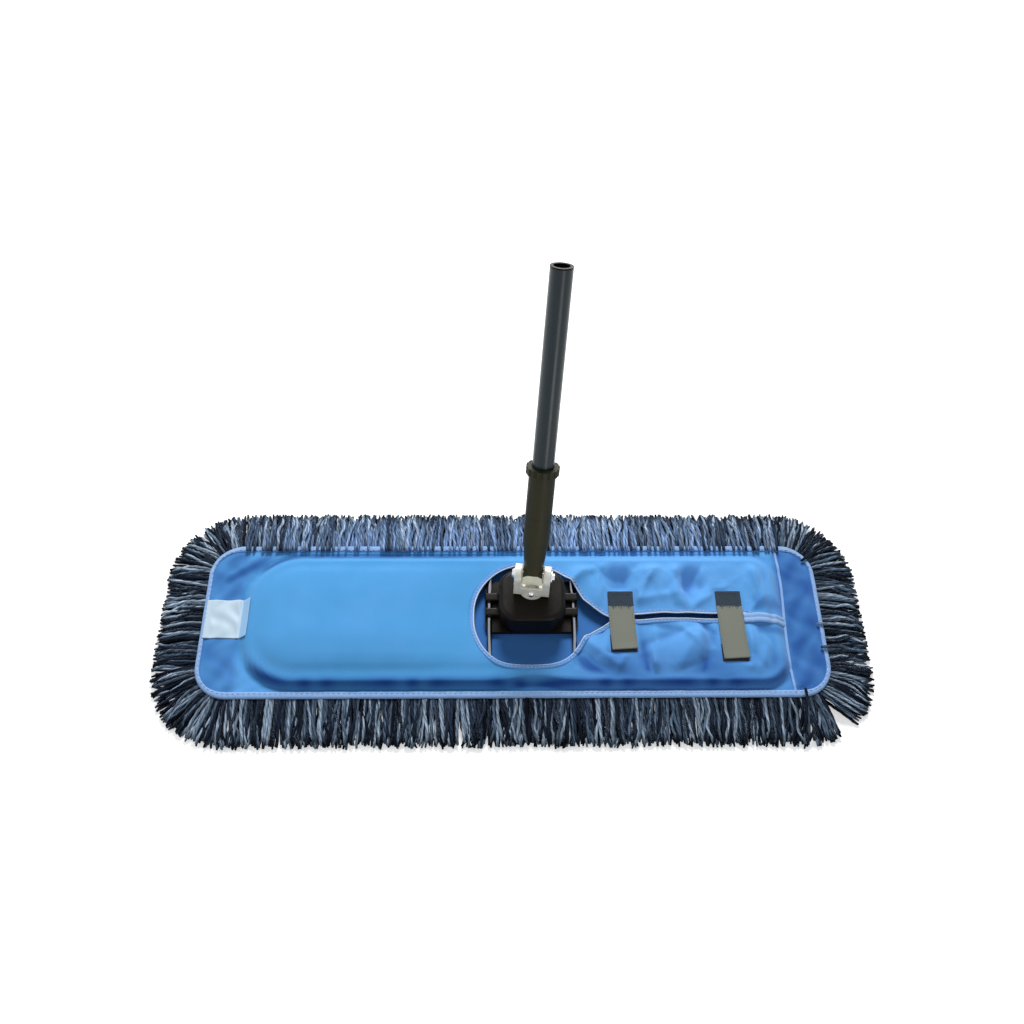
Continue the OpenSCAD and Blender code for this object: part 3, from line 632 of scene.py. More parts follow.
per_layer = int(RIM_LENGTH / STRAND_PITCH)
layer = np.repeat(np.arange(LAYERS), per_layer)
count = len(layer)
turn_in_layer = np.tile(np.arange(per_layer), LAYERS) + random.uniform(-STRAND_SHIFT, STRAND_SHIFT, count)
way = (turn_in_layer + layer / LAYERS) * RIM_LENGTH / per_layer
strand_id = random.uniform(0, 1, count)
along = np.linspace(0, 1, STRAND_RINGS)
rim_centre, rim_out, rim_ahead = round_the_rim(way)
tip = FRINGE_REACH * LAYER_LENGTH[layer] * random.uniform(*LENGTH_SPREAD, count)
lean = sum(gain * slow_wave(way, periods, seed) for gain, periods, seed in LEAN_WAVES)
lean = lean + random.normal(0, LEAN_SPREAD, count)
root = rim_centre + BACKING_CORNER * rim_out
from_parting = ((root + 0.5 * tip[:, None] * rim_out - PARTING) * rim_ahead).sum(-1)
near_parting = (root[:, 0] > PARTING_CORNER[0]) & (root[:, 1] < PARTING_CORNER[1])
parted = PARTING_LEAN * np.sign(from_parting) * np.exp(-np.abs(from_parting) / PARTING_WIDTH)
lean = lean + np.where(near_parting, parted, 0)
curl_turns = random.uniform(*CURL_TURNS, (count, 1)) * along + random.uniform(0, 1, (count, 1))
wiggle = random.normal(0, CURL, (count, 1)) * np.sin(TURN * curl_turns)
outward = -ROOT_LAP + (tip[:, None] + ROOT_LAP) * along
sideways = np.clip(outward, 0, None) * lean[:, None] * (0.6 + 0.4 * along) + wiggle * along
hump = LAYER_HUMP[layer] * random.uniform(*HUMP_SPREAD, count)
hump *= 1 + HUMP_GAIN * slow_wave(way, HUMP_PERIODS, HUMP_SEED)
height = (
    LAYER_ROOT_Z[layer][:, None] * (1 - along ** FALL)
    + (LAYER_TIP_Z[layer] * random.uniform(*TIP_Z_SPREAD, count))[:, None] * along ** FALL
    + hump[:, None] * np.sin(math.pi * along ** 0.75)
)
from_core = (BACKING_CORNER + outward)[..., None] * rim_out[:, None]
flat_path = rim_centre[:, None] + from_core + sideways[..., None] * rim_ahead[:, None]
strand_r = STRAND_R * random.uniform(*RADIUS_SPREAD, count)
paths = np.concatenate([flat_path, np.maximum(height, FLOOR_GAP * strand_r[:, None])[..., None]], -1)

rim_part = np.digitize(np.mod(way, RIM_LENGTH), rim_knots[1:8])
for side_name, (parts, lapped_share, bleached_share) in FRINGE_SIDES.items():
    lapped = random.uniform(0, 1, count) < lapped_share
    chosen = np.isin(rim_part, parts) & ((layer < LAYERS - 1) | lapped)
    worn = BLEACHED_LEAST + (1 - BLEACHED_LEAST) * np.exp(-((root[chosen, 0] / BLEACHED_REACH) ** 2))
    bleach = bleached_share * worn * (layer[chosen] > 1) * random.uniform(0, 1, chosen.sum())
    piece = strands("yarn_fringe_" + side_name, paths[chosen], strand_r[chosen], strand_id[chosen], bleach)
    dress(piece, yarn, "mop_head")
    print(piece.name, int(chosen.sum()), "strands")
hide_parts("yarn_fringe")

# %% [markdown]
# ## The pile
# Under the backing the yarn is sewn in rows. Each strand bends over and lies towards the nearer long side,
# so the rows overlap like tiles, and the mop stands on them. In the middle the strands fall to both sides
# in turn, and at the ends they lean outwards, so the backing is covered.

# %% The pile
pile_low, pile_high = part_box("yarn_pile")
PILE_ROWS, PILE_PITCH, PILE_RINGS = 16, 5.0 * MM, 7
PILE_LENGTH, PILE_ROOT_Z, PILE_TIP_Z = 30 * MM, 10.6 * MM, 2.5 * MM
PILE_EDGE, PILE_END, PILE_PAST = 12 * MM, 5 * MM, 2 * MM
MIDDLE_ROWS, END_SPREAD, END_LEAN = 14 * MM, 40 * MM, 16 * MM
PILE_STRAY, PILE_LEAN, PILE_BEND, PILE_FALL = 1.2 * MM, 4 * MM, 1.3, 0.6
PILE_LENGTH_SPREAD, PILE_TIP_SPREAD = (0.8, 1.1), (0.95, 1.3)
row_y = np.linspace(pile_low.y + PILE_EDGE, pile_high.y - PILE_EDGE, PILE_ROWS)
row_x = np.arange(pile_low.x + PILE_END, pile_high.x - PILE_END, PILE_PITCH)
pile_x, pile_y = (block.ravel() for block in np.meshgrid(row_x, row_y))
pile_x = pile_x + random.normal(0, PILE_STRAY, len(pile_x))
pile_count = len(pile_x)
pile_along = np.linspace(0, 1, PILE_RINGS)
either_side = np.where(np.arange(pile_count) % 2 == 0, 1.0, -1.0)
pile_side = np.where(np.abs(pile_y) < MIDDLE_ROWS, either_side, np.sign(pile_y))[:, None]
pile_reach = PILE_LENGTH * random.uniform(*PILE_LENGTH_SPREAD, pile_count)[:, None] * pile_along ** PILE_BEND
pile_y_way = pile_y[:, None] + pile_side * pile_reach
end_lean = END_LEAN * np.sign(pile_x) * smooth_step((np.abs(pile_x) - pile_high.x + END_SPREAD) / END_SPREAD)
pile_lean = random.normal(0, PILE_LEAN, (pile_count, 1)) + end_lean[:, None]
pile_x_way = pile_x[:, None] + pile_lean * pile_along
pile_drop = pile_along ** PILE_FALL
pile_tip_z = PILE_TIP_Z * random.uniform(*PILE_TIP_SPREAD, (pile_count, 1))
pile_z = PILE_ROOT_Z * (1 - pile_drop) + pile_tip_z * pile_drop
pile_x_way = np.clip(pile_x_way, pile_low.x - PILE_PAST, pile_high.x + PILE_PAST)
pile_y_way = np.clip(pile_y_way, pile_low.y - PILE_PAST, pile_high.y + PILE_PAST)
pile_paths = np.stack([pile_x_way, pile_y_way, pile_z], -1)
pile = strands("yarn_pile_rows", pile_paths, np.full(pile_count, STRAND_R), random.uniform(0, 1, pile_count))
dress(pile, yarn, "mop_head")
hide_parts("yarn_pile")
print(pile.name, pile_count, "strands")

# %% [markdown]
# ## Blue cloth
# Pocket, backing and binding are one kind of blue cloth in slightly different shades. The finish crosses
# fine threads, lets slow patches drift between two blues, as cloth does that has been washed and creased,
# and adds a little sheen from loose fibres. Two values on the mesh take part where they are given: slack
# cloth leans to the second blue, and the seam value paints shade into the colour, darker where shade falls
# at the seams, on the hems and in the hollows of the folds.


# %% Cloth finishes
# The dark blue towards which the painted shade darkens the cloth.
PAINTED_SHADE_COLOUR = (0.06, 0.16, 0.37, 1.0)
PATCH_RANGE, DIVE_RANGE = (0.3, 0.7), (0.78, 1.06)
SLACK_SHARE, PATCH_SHARE = 0.6, 0.4
SLACK_CREASES, TIGHT_CREASES = 1.2, 0.3


def cloth_finish(name, main, second, threads=850.0, patch_scale=16.0, creased=0.0, depth=0.12):
    """Woven cloth: two shades by patches, threads darker where they dive under, painted shade by the mesh's
    seam value, and a bump of the weave and of fine creases. The shades are given as a picture shows them."""
    made, tree, shader = start_material(name, Roughness=0.9, Sheen_Weight=0.2, Specular_IOR_Level=0.12)
    slack, seam = mesh_value(tree, "slack"), mesh_value(tree, "seam")
    woven = place_group(tree, weave, Coordinates=object_place(tree), Threads=threads, Patch_Scale=patch_scale)
    spread = map_range(tree, woven["Patches"], PATCH_RANGE)
    dive = map_range(tree, woven["Thread"], after=DIVE_RANGE)
    patches = math_node(tree, "MULTIPLY", spread, PATCH_SHARE)
    lean = math_node(tree, "MULTIPLY_ADD", slack, SLACK_SHARE, patches)
    shade = mix_colour(tree, lean, colour(*main), colour(*second))
    shade = mix_colour(tree, 1.0, shade, dive, "MULTIPLY")
    # Painted shade: the mesh's seam value darkens the colour where shade falls on the cloth.
    shade = mix_colour(tree, seam, shade, mix_colour(tree, 1.0, shade, PAINTED_SHADE_COLOUR, "MULTIPLY"))
    feed(tree, shader.inputs["Base Color"], shade)
    creases = SLACK_CREASES * creased / depth, TIGHT_CREASES * creased / depth
    gain = math_node(tree, "MULTIPLY_ADD", slack, *creases)
    height = math_node(tree, "MULTIPLY_ADD", woven["Creases"], gain, woven["Height"])
    bump(tree, shader, height, 0.8, depth * MM)
    return made


TAPE_WEAVE, THREAD_WEAVE = {"threads": 1100.0, "patch_scale": 40.0}, {"threads": 2400.0, "depth": 0.05}
pocket_blue = cloth_finish("pocket_cloth", (78, 162, 224), (103, 172, 243), creased=2.2)
backing_blue = cloth_finish("backing_cloth", (62, 124, 198), (72, 132, 206))
binding_blue = cloth_finish("binding_tape", (142, 182, 236), (168, 200, 242), **TAPE_WEAVE)
stitch_thread = cloth_finish("stitch_thread", (176, 206, 240), (196, 218, 244), **THREAD_WEAVE)
print("finishes:", pocket_blue.name, backing_blue.name, binding_blue.name, stitch_thread.name)

# %% [markdown]
# ## The backing
# The backing is the flat lower sheet, to which the yarn and the pocket are sewn. It shows through the
# keyhole. Each line across it is as long as the outline is wide there, so one grid fills the rounded
# outline.

# %% The backing
BACKING_LINES, BACKING_STEPS, BACKING_RIPPLE = 220, 60, 0.2 * MM
backing_x = backing_high.x * np.sin(np.linspace(-math.pi / 2, math.pi / 2, BACKING_LINES))
past_core = np.clip(np.abs(backing_x) - core_l, 0, BACKING_CORNER)
backing_half = core_d + np.sqrt(BACKING_CORNER ** 2 - past_core ** 2)
backing_y = backing_half[:, None] * np.linspace(-1, 1, BACKING_STEPS)
backing_x = np.broadcast_to(backing_x[:, None], backing_y.shape)
backing_wave = np.sin(backing_x / (19 * MM)) * np.sin(backing_y / (13 * MM))
backing_z = backing_high.z + BACKING_RIPPLE * (backing_wave - 1)
backing = put_grid("backing_sheet", np.stack([backing_x, backing_y, backing_z], -1))
thicken(backing, backing_high.z - backing_low.z - 2 * BACKING_RIPPLE)
dress(backing, backing_blue, "mop_head")
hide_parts("backing_cloth")
print("backing:", BACKING_LINES, "by", BACKING_STEPS, "points")

# %% [markdown]
# ## The shape of the pocket
# The pocket is a sheet over the wire frame. Its height depends on how far a point lies inside the pocket's
# foot: level on the hem, a groove at the seam, a smooth rise up the wall, then the roof. The left half is
# drawn tight over the frame and crowns a little. The right half is slack, so it has folds, each a soft
# ridge or hollow with a place, a direction, a width, a length and a height. Under the straps the roof stays
# flat.

# %% The shape of the pocket
roof_high, hem_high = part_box("pocket_roof")[1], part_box("pocket_hem")[1]
walls_low, walls_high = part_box("pocket_end_walls")
rim_low, rim_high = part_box("keyhole_binding")
wires_low, wires_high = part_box("cross_wires")
RIM_WIDTH, KEYHOLE_R = 4 * MM, 61 * MM
keyhole_x = rim_low.x + RIM_WIDTH + KEYHOLE_R
keyhole_y = (rim_low.y + rim_high.y) / 2
POCKET_CORNER, SLACK_CORNER = 63 * MM, 34 * MM
WALL_WIDTH, SEAM_DEPTH, SEAM_X = 13 * MM, 0.9 * MM, 299 * MM
NEAR_STEEPER, KEYHOLE_FOOT, KEYHOLE_WALL = 4 * MM, 4.5 * MM, 3 * MM
CROWN, CROWN_REACH, CROWN_START, CROWN_WIDTH, SHOULDER = 6.5 * MM, 150 * MM, 10 * MM, 62 * MM, 2.4 * MM
GATHER_RISE, DRAWN_RISE, FRAME_GAP, HOLLOW_DEPTH = 1.1 * MM, 0.3 * MM, 0.3 * MM, 5 * MM
RIPPLE_TIGHT, RIPPLE_SLACK, PUCKER_HEM, PUCKER_ENDS = 0.22, 0.33, 0.35, 0.75
# Strengths of the painted shade on the pocket: far wall's foot, left and right hems, slack near part, then
FAR_SHADE, LEFT_SHADE, RIGHT_SHADE, SLACK_SHADE = 0.8, 0.46, 0.7, 0.42
# fold hollows, the far left corner and both sides of the closed slit.
HOLLOW_SHADE, CORNER_SHADE, CLOSED_SHADE = 0.5, 0.85, 0.55
CLOSED_SHIFT, CLOSED_DRIFT, CLOSED_RISE = 2.2 * MM, 1.0 * MM, 1.8 * MM
CORNER_FOLD, CORNER_TURN = (-301 * MM, 60 * MM), math.radians(33)
FOLD_GAIN = 4.0
FOLDS = (
    (195, 52, 80, 5, 20, -2.4), (181, 54, 86, 7, 22, 1.7), (158, 46, 104, 8, 26, 1.4),
    (212, 58, 75, 6, 16, 1.2), (150, -63, 96, 3.5, 13, 2.2), (142, -58, 98, 4, 16, -1.8),
    (92, -44, 138, 7, 32, 1.6), (80, -60, 142, 6, 28, -1.7), (186, -42, 62, 10, 30, 1.6),
    (204, -58, 70, 6, 20, -1.6), (170, -24, 20, 6, 26, -1.0), (274, 30, 100, 6, 30, 1.3),
    (283, -22, 84, 6, 34, -1.4), (265, -60, 68, 5, 18, 1.5), (150, 20, 8, 6, 30, 1.1),
    (285, 52, 60, 6, 20, -1.2), (88, 58, 35, 7, 24, 1.4), (118, 60, 20, 6, 22, -1.2),
    (-70, -52, 30, 9, 30, -0.7), (-210, 40, 20, 20, 60, 0.5),
)
SMALL_FOLDS = 90
small_folds = np.random.default_rng(7)
SMALL = np.stack([
    small_folds.uniform(60, 292, SMALL_FOLDS), small_folds.uniform(-70, 66, SMALL_FOLDS),
    small_folds.normal(90, 38, SMALL_FOLDS), small_folds.uniform(3.2, 6.5, SMALL_FOLDS),
    small_folds.uniform(9, 26, SMALL_FOLDS), small_folds.uniform(-1.5, 1.5, SMALL_FOLDS),
], -1)
STRAP_BOXES = [
    (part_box("closure_strap_" + place)[0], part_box("strap_anchor_" + place)[1]) for place in ("inner", "outer")
]


def inside_box(x, y, low, high, corner):
    """Distance inside a rectangle with round corners, and negative outside it."""
    past_x = np.abs(x - (low.x + high.x) / 2) - ((high.x - low.x) / 2 - corner)
    past_y = np.abs(y - (low.y + high.y) / 2) - ((high.y - low.y) / 2 - corner)
    beyond = np.hypot(np.maximum(past_x, 0), np.maximum(past_y, 0))
    return corner - (beyond + np.minimum(np.maximum(past_x, past_y), 0))


def inside_pocket(x, y):
    """Distance inside the pocket's foot, which has wide corners where the frame draws it tight and small
    ones where it is slack."""
    return inside_box(x, y, walls_low, walls_high, np.where(x > 0, SLACK_CORNER, POCKET_CORNER))


def folds_at(x, y):
    """Sum of the folds: each falls off as a bell curve along its own direction, and across it from a narrow
    crest, as a power of e does."""
    total = np.zeros_like(x)
    for fold_x, fold_y, degrees, width, length, rise in (*FOLDS, *SMALL):
        turn = math.radians(degrees)
        right, up = x - fold_x * MM, y - fold_y * MM
        forward = right * math.cos(turn) + up * math.sin(turn)
        across = up * math.cos(turn) - right * math.sin(turn)
        crest = np.exp(0.4 - np.sqrt((across / (width * MM)) ** 2 + 0.16))
        total += FOLD_GAIN * rise * MM * crest * np.exp(-0.5 * (forward / (length * MM)) ** 2)
    return total


def under_straps(x, y, margin):
    """One where a strap or its sewn end lies on the roof, fading to zero over a margin round it."""
    covered = np.zeros_like(x)
    for low, high in STRAP_BOXES:
        off_x = np.maximum(np.maximum(low.x - x, x - high.x), 0)
        off_y = np.maximum(np.maximum(low.y - 3 * MM - y, y - high.y), 0)
        covered = np.maximum(covered, 1 - ramp(np.hypot(off_x, off_y), 0, margin))
    return covered


print("pocket: wall", WALL_WIDTH / MM, "mm wide,", len(FOLDS) + len(SMALL), "folds")

# %% [markdown]
# ## The height of the pocket
# The height adds up from parts: the rise of the wall, the crown and the shoulder of the tight half, the
# gathers, ripples and folds of the slack half, the ridge over the sewn-up end of the slit, the groove of the
# seam and the puckers of the hem.


# %% The height of the pocket
def closed_slit_y(x):
    """The line on which the slit's two edges meet between its open end and the end seam, a little nearer
    than the slit."""
    return keyhole_y - CLOSED_SHIFT - CLOSED_DRIFT * ramp(x - rim_high.x, 0, 20)


def past_slit(x):
    """One between the slit's open end and the end seam, and zero elsewhere."""
    return ramp(x - rim_high.x, -4, 8) * (1 - ramp(x - SEAM_X, 0, 3))


def pocket_height(x, y):
    """Height of the pocket's upper side: hem, seam groove, wall, then a roof with its crown and folds,
    which no fold takes below the wire frame."""
    inside = inside_pocket(x, y)
    slack, on_roof, at_ends = ramp(x, -10, 60), ramp(inside, 12, 16), ramp(np.abs(x), 285, 15)
    below_keyhole = bell(x, 22, 24) * (y < 0)
    foot = KEYHOLE_FOOT * below_keyhole
    wall = WALL_WIDTH - NEAR_STEEPER * ramp(-y, 30, 30) + KEYHOLE_WALL * below_keyhole
    rise = smooth_step((inside - foot) / wall)

    off_keyhole = np.clip(np.hypot(x - keyhole_x, y - keyhole_y) / CROWN_REACH, 0, 1) ** 2
    up_to_middle = np.clip((inside - CROWN_START) / CROWN_WIDTH, 0, 1)
    crown = CROWN * off_keyhole * (1 - (1 - up_to_middle) ** 2)
    crown += SHOULDER * ramp(inside, 16, 22) * ramp(-y, -15, 50) * (1 - below_keyhole)

    gathers = GATHER_RISE * wavy(x, 5.1, 2, x, 23) * bell(y, 63, 9)
    drawn_phase = x / (4.4 * MM) + 2 * np.sin(x / (29 * MM)) + 0.9 * np.sin(y / (37 * MM))
    drawn = DRAWN_RISE * (1 - slack) * np.sin(drawn_phase) * bell(x, -205, 48)
    ripple = (RIPPLE_TIGHT + RIPPLE_SLACK * slack) * MM * (wavy(x, 9.5, 2.1, y, 21) * wavy(y, 14, 1.3, x, 33))
    closed = CLOSED_RISE * past_slit(x) * bell(y - closed_slit_y(x), 0, 6)
    slit_side = ramp(x, 70, 30) * (1 - ramp(x - rim_high.x, 0, 15))
    slit_side *= 1 - ramp(np.abs(y - keyhole_y), 4, 15)

    groove = SEAM_DEPTH * bell(inside, 0, 1.4)
    in_from_edge = inside_box(x, y, backing_low, backing_high, BACKING_CORNER)
    puckers = wavy(x, 4.6, 1.8, y, 9) * np.cos(y / (6.1 * MM) + np.sin(x / (8 * MM))) + 0.5 * at_ends
    on_hem = ramp(in_from_edge, 6, 5) * (1 - ramp(inside, -4, 4))
    puckers *= (PUCKER_HEM + PUCKER_ENDS * at_ends) * MM * on_hem
    height = (
        hem_high.z + (roof_high.z - hem_high.z) * rise - groove + puckers
        + on_roof * (1 - under_straps(x, y, 34)) * crown * (1 - 0.7 * slack)
        + on_roof * (1 - under_straps(x, y, 7))
        * (slack * (1 - 0.85 * slit_side) * (folds_at(x, y) + gathers) + ripple + drawn + closed)
    )
    off_wires = np.minimum(np.abs(x - wires_low.x), np.abs(x - wires_high.x))
    least = roof_high.z - FRAME_GAP - HOLLOW_DEPTH * (ramp(inside, 21, 24) * ramp(off_wires, 8, 9))
    return np.where(inside > 13.5 * MM, np.maximum(height, least), height)


print("pocket roof at", round(roof_high.z / MM, 1), "mm, hem at", round(hem_high.z / MM, 1), "mm")

# %% [markdown]
# ## Painted shade on the pocket
# Shade is painted darker into the cloth's colour where it falls: at the foot of the walls, on the hems, on
# the slack near part, in the hollows of the folds, at the far left corner and beside the closed slit.
# Several masks are worked out, each between zero and one, and the darkest of them counts.


# %% Painted shade on the pocket
def painted_seam_shade(x, y):
    """How much painted shade darkens the cloth: along the foot of the walls, most on the near side and at the
    far left corner, on the hems at both ends, on the slack near part, in its hollows, and beside the closed
    end of the slit."""
    inside = inside_pocket(x, y)
    far = ramp(y, 50, 15) * (1 - 0.85 * ramp(x, -60, 70))
    at_foot = ramp(-y, 45, 25) * bell(inside, 6.5, 6) + FAR_SHADE * far * bell(inside, 2, 4)
    at_foot *= 0.88 + 0.12 * wavy(x, 6.3, 2, x, 17)

    end_hems = np.where(x > 0, RIGHT_SHADE, LEFT_SHADE) + 0.15 * wavy(y, 7, 1, x, 9) * np.sin(x / (6 * MM))
    end_hems *= ramp(np.abs(x), 290, 14)
    slack_side = ramp(-y, 16, 45) * ramp(x, 35, 45) * (SLACK_SHADE + 0.14 * wavy(x, 16, 1, y, 12))
    hollows = HOLLOW_SHADE * np.clip(-folds_at(x, y) / HOLLOW_DEPTH, 0, 1) * ramp(x, 20, 50)
    hollows *= ramp(inside, 12, 10) * (1 - under_straps(x, y, 7))

    turn_x, turn_y = math.cos(CORNER_TURN), math.sin(CORNER_TURN)
    corner_x, corner_y = x - CORNER_FOLD[0], y - CORNER_FOLD[1]
    far_corner = CORNER_SHADE * bell(corner_y * turn_x - corner_x * turn_y, 0, 8)
    far_corner *= np.exp(-(((corner_x * turn_x + corner_y * turn_y) / (34 * MM)) ** 4))

    beside = y - closed_slit_y(x)
    closed_side = CLOSED_SHADE * past_slit(x) * (bell(beside, 18, 9) + bell(beside, -13, 6))
    return np.clip(np.max([at_foot, end_hems, slack_side + hollows, far_corner, closed_side], axis=0), 0, 1)


print("painted shade: 5 masks")

# %% [markdown]
# ## The keyhole
# The handle's connector comes up through a keyhole in the pocket, and a slit leads from it to the right, so
# that the frame can be slipped in. The outline is worked out from half its width at every place along it:
# the larger of the round end, the straight taper and the slit, with a soft change from one to the next.

# %% The keyhole
SLIT_HALF, NEAR_HALF, SOFT_CORNER = 2.5 * MM, 59 * MM, 5 * MM
TAPER_X, TAPER_HALF = (34.2 * MM, 88 * MM), (42.9 * MM, 2.5 * MM)
GUIDE_POINTS = 4000
keyhole_stretch = (rim_high.y - rim_low.y) / 2 - RIM_WIDTH - KEYHOLE_R
slit_end = rim_high.x - RIM_WIDTH


def keyhole_outline(shares):
    """Points round the keyhole and the slit at shares of the way round, from the left end along the far
    side to the slit's tip and back along the near side."""
    spread = 0.5 - 0.5 * np.cos(np.linspace(0, math.pi, GUIDE_POINTS))
    x = keyhole_x - KEYHOLE_R + (slit_end - keyhole_x + KEYHOLE_R) * spread
    from_middle = x - keyhole_x
    round_half = np.sqrt(np.maximum(KEYHOLE_R ** 2 - from_middle ** 2, 0))
    round_half += keyhole_stretch * (from_middle < KEYHOLE_R)
    taper_half = np.interp(from_middle, TAPER_X, TAPER_HALF)
    in_tip = np.clip(x - (slit_end - SLIT_HALF), 0, SLIT_HALF)
    slit_half = np.sqrt(np.clip(SLIT_HALF ** 2 - in_tip ** 2, 0, None))
    parts = np.stack([round_half, taper_half, slit_half])
    half = SOFT_CORNER * np.log(np.exp(parts / SOFT_CORNER).sum(0) - 2)
    half = np.where(from_middle < 20 * MM, round_half, np.where(x > slit_end - 6 * MM, slit_half, half))
    near_half = -SOFT_CORNER * np.log(np.exp(-half / SOFT_CORNER) + math.exp(-NEAR_HALF / SOFT_CORNER))
    middle = keyhole_y - 4 * MM * bell(x, 100, 26)
    far = np.stack([x, middle + half], -1)
    near = np.stack([x, middle - near_half], -1)[::-1]
    line = np.concatenate([far, near, far[:1]])
    return at_lengths(line, shares * lengths_along(line)[-1])


def backing_outline(shares):
    """Points round the backing's edge at shares of the way round, from the middle of the left end along the
    far side."""
    centre, out, _ = round_the_rim(np.linspace(RIM_LENGTH, 0, 6000))
    line = centre + BACKING_CORNER * out
    travelled = lengths_along(line)
    left = np.argmin(np.abs(line[:, 1]) + (line[:, 0] > 0))
    return at_lengths(line, np.mod(travelled[left] + shares * travelled[-1], travelled[-1]))


def evenly(count):
    """Shares of the way round a closed line."""
    return np.arange(count) / count


keyhole_guide, backing_guide = keyhole_outline(evenly(GUIDE_POINTS)), backing_outline(evenly(GUIDE_POINTS))
print("keyhole from", np.round(keyhole_guide.min(0) / MM, 1), "to", np.round(keyhole_guide.max(0) / MM, 1))

# %% [markdown]
# ## The pocket sheet
# The sheet lies between two closed lines: the keyhole inside and the backing's edge outside. Matching
# places on both are joined by straight lines, and points along these make a grid with clean edges all
# round. The points gather towards the outer edge, where the wall needs them.

# %% The pocket sheet
SHEET_RINGS, SHEET_COLUMNS, SHEET_GATHER = 60, 640, 1.6
CLOTH_THICKNESS = 1.0 * MM
MATCH_INNER = np.array([
    (-45, -2), (16, 63), (104, 0), (250, 1), (260.5, -2), (250, -5), (104, -8), (16, -67),
]) * MM
MATCH_OUTER = np.array([
    (-340, 0), (16, 91), (104, 91), (262, 91), (340, 0), (262, -91), (104, -91), (16, -91),
]) * MM


def share_along(line, points):
    """The share of the way round a closed, evenly spaced line at which each point lies nearest."""
    return np.array([np.argmin(np.linalg.norm(line - point, axis=1)) for point in points]) / len(line)


inner_shares = np.append(share_along(keyhole_guide, MATCH_INNER), 1.0)
outer_shares = np.append(share_along(backing_guide, MATCH_OUTER), 1.0)
inner_shares[0] = outer_shares[0] = 0.0
column_shares = (inner_shares + outer_shares) / 2
keyhole_line = keyhole_outline(np.interp(evenly(SHEET_COLUMNS), column_shares, inner_shares))
outer_line = backing_outline(np.interp(evenly(SHEET_COLUMNS), column_shares, outer_shares))
ring_share = 1 - (1 - np.linspace(0, 1, SHEET_RINGS)) ** SHEET_GATHER
sheet_flat = keyhole_line[None] + ring_share[:, None, None] * (outer_line - keyhole_line)[None]
sheet_x, sheet_y = sheet_flat[..., 0], sheet_flat[..., 1]
sheet_points = np.stack([sheet_x, sheet_y, pocket_height(sheet_x, sheet_y)], -1)
loose_hem = 0.6 * ramp(-inside_pocket(sheet_x, sheet_y), 0, 6)
sheet_values = {
    "slack": np.maximum(ramp(sheet_x, -60, 200), loose_hem),
    # The seam value is painted shade where shade falls on the pocket.
    "seam": painted_seam_shade(sheet_x, sheet_y),
}
pocket = put_grid("pocket_sheet", sheet_points, wrap_columns=True, flip=True, values=sheet_values)
thicken(pocket, CLOTH_THICKNESS)
dress(pocket, pocket_blue, "mop_head")
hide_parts("pocket_hem", "pocket_side_walls", "pocket_end_walls", "pocket_roof")
print("pocket sheet:", SHEET_RINGS, "rings of", SHEET_COLUMNS, "points")

# %% [markdown]
# ## Bindings and seams
# A tape wraps the edge of the hem, and a folded rim runs round the keyhole and the slit. Each is a section
# that is carried along a line. A stitch is a short length of thread that bows up in the middle and dives
# into the cloth at both ends, so a row of stitches is a row of small strands. Past the outer strap the two
# edges of the slit are sewn together, side by side, as far as the end seam.
# A pale cord lies along the edge of the rim. It stands for the rim's rolled edge, and its pale colour is a
# painted highlight where that edge catches the light; on the near side, which lies in shade, it sinks away.


# %% Sections along lines
def carry(path, section, closed=False):
    """A section (k, 2) of sideways and upward distances, carried along a path (n, 3): sideways is to the
    right of the way ahead."""
    ahead = unit(np.roll(path, -1, 0) - np.roll(path, 1, 0) if closed else np.gradient(path, axis=0))
    side = unit(np.cross(ahead, UP))
    above = np.cross(side, ahead)
    return path[:, None] + section[None, :, :1] * side[:, None] + section[None, :, 1:] * above[:, None]


def swept(name, path, section, closed=False):
    """A mesh of a section carried along a path, with a cap at either end where the path is open."""
    return put_grid(name, carry(path, section, closed), wrap_rows=closed, wrap_columns=True, caps=not closed)


def rounded_bar(width, thickness, count=40, power=6.0):
    """A flat section with soft corners: a circle whose cosine and sine are raised to a power below one."""
    angle = TURN * np.arange(count) / count
    soft = [np.sign(wave) * np.abs(wave) ** (2 / power) for wave in (np.cos(angle), np.sin(angle))]
    return np.stack([width / 2 * soft[0], thickness / 2 * soft[1]], -1)


def stitch_row(name, line, pitch, length, thread):
    """Stitches along a line (n, 3), one at every pitch."""
    middles = np.arange(pitch / 2, lengths_along(line)[-1], pitch)
    paths = at_lengths(line, middles[:, None] + length * np.linspace(-0.5, 0.5, 4))
    paths[..., 2] += thread * np.array([-0.6, 0.4, 0.4, -0.6])
    return strands(name, paths, np.full(len(paths), thread), random.uniform(0, 1, len(paths)))


def on_pocket(flat, lift):
    """Points (n, 2) set on the pocket's upper side, with a lift."""
    return np.concatenate([flat, (pocket_height(flat[:, 0], flat[:, 1]) + lift)[:, None]], -1)


print("sections and stitches ready")

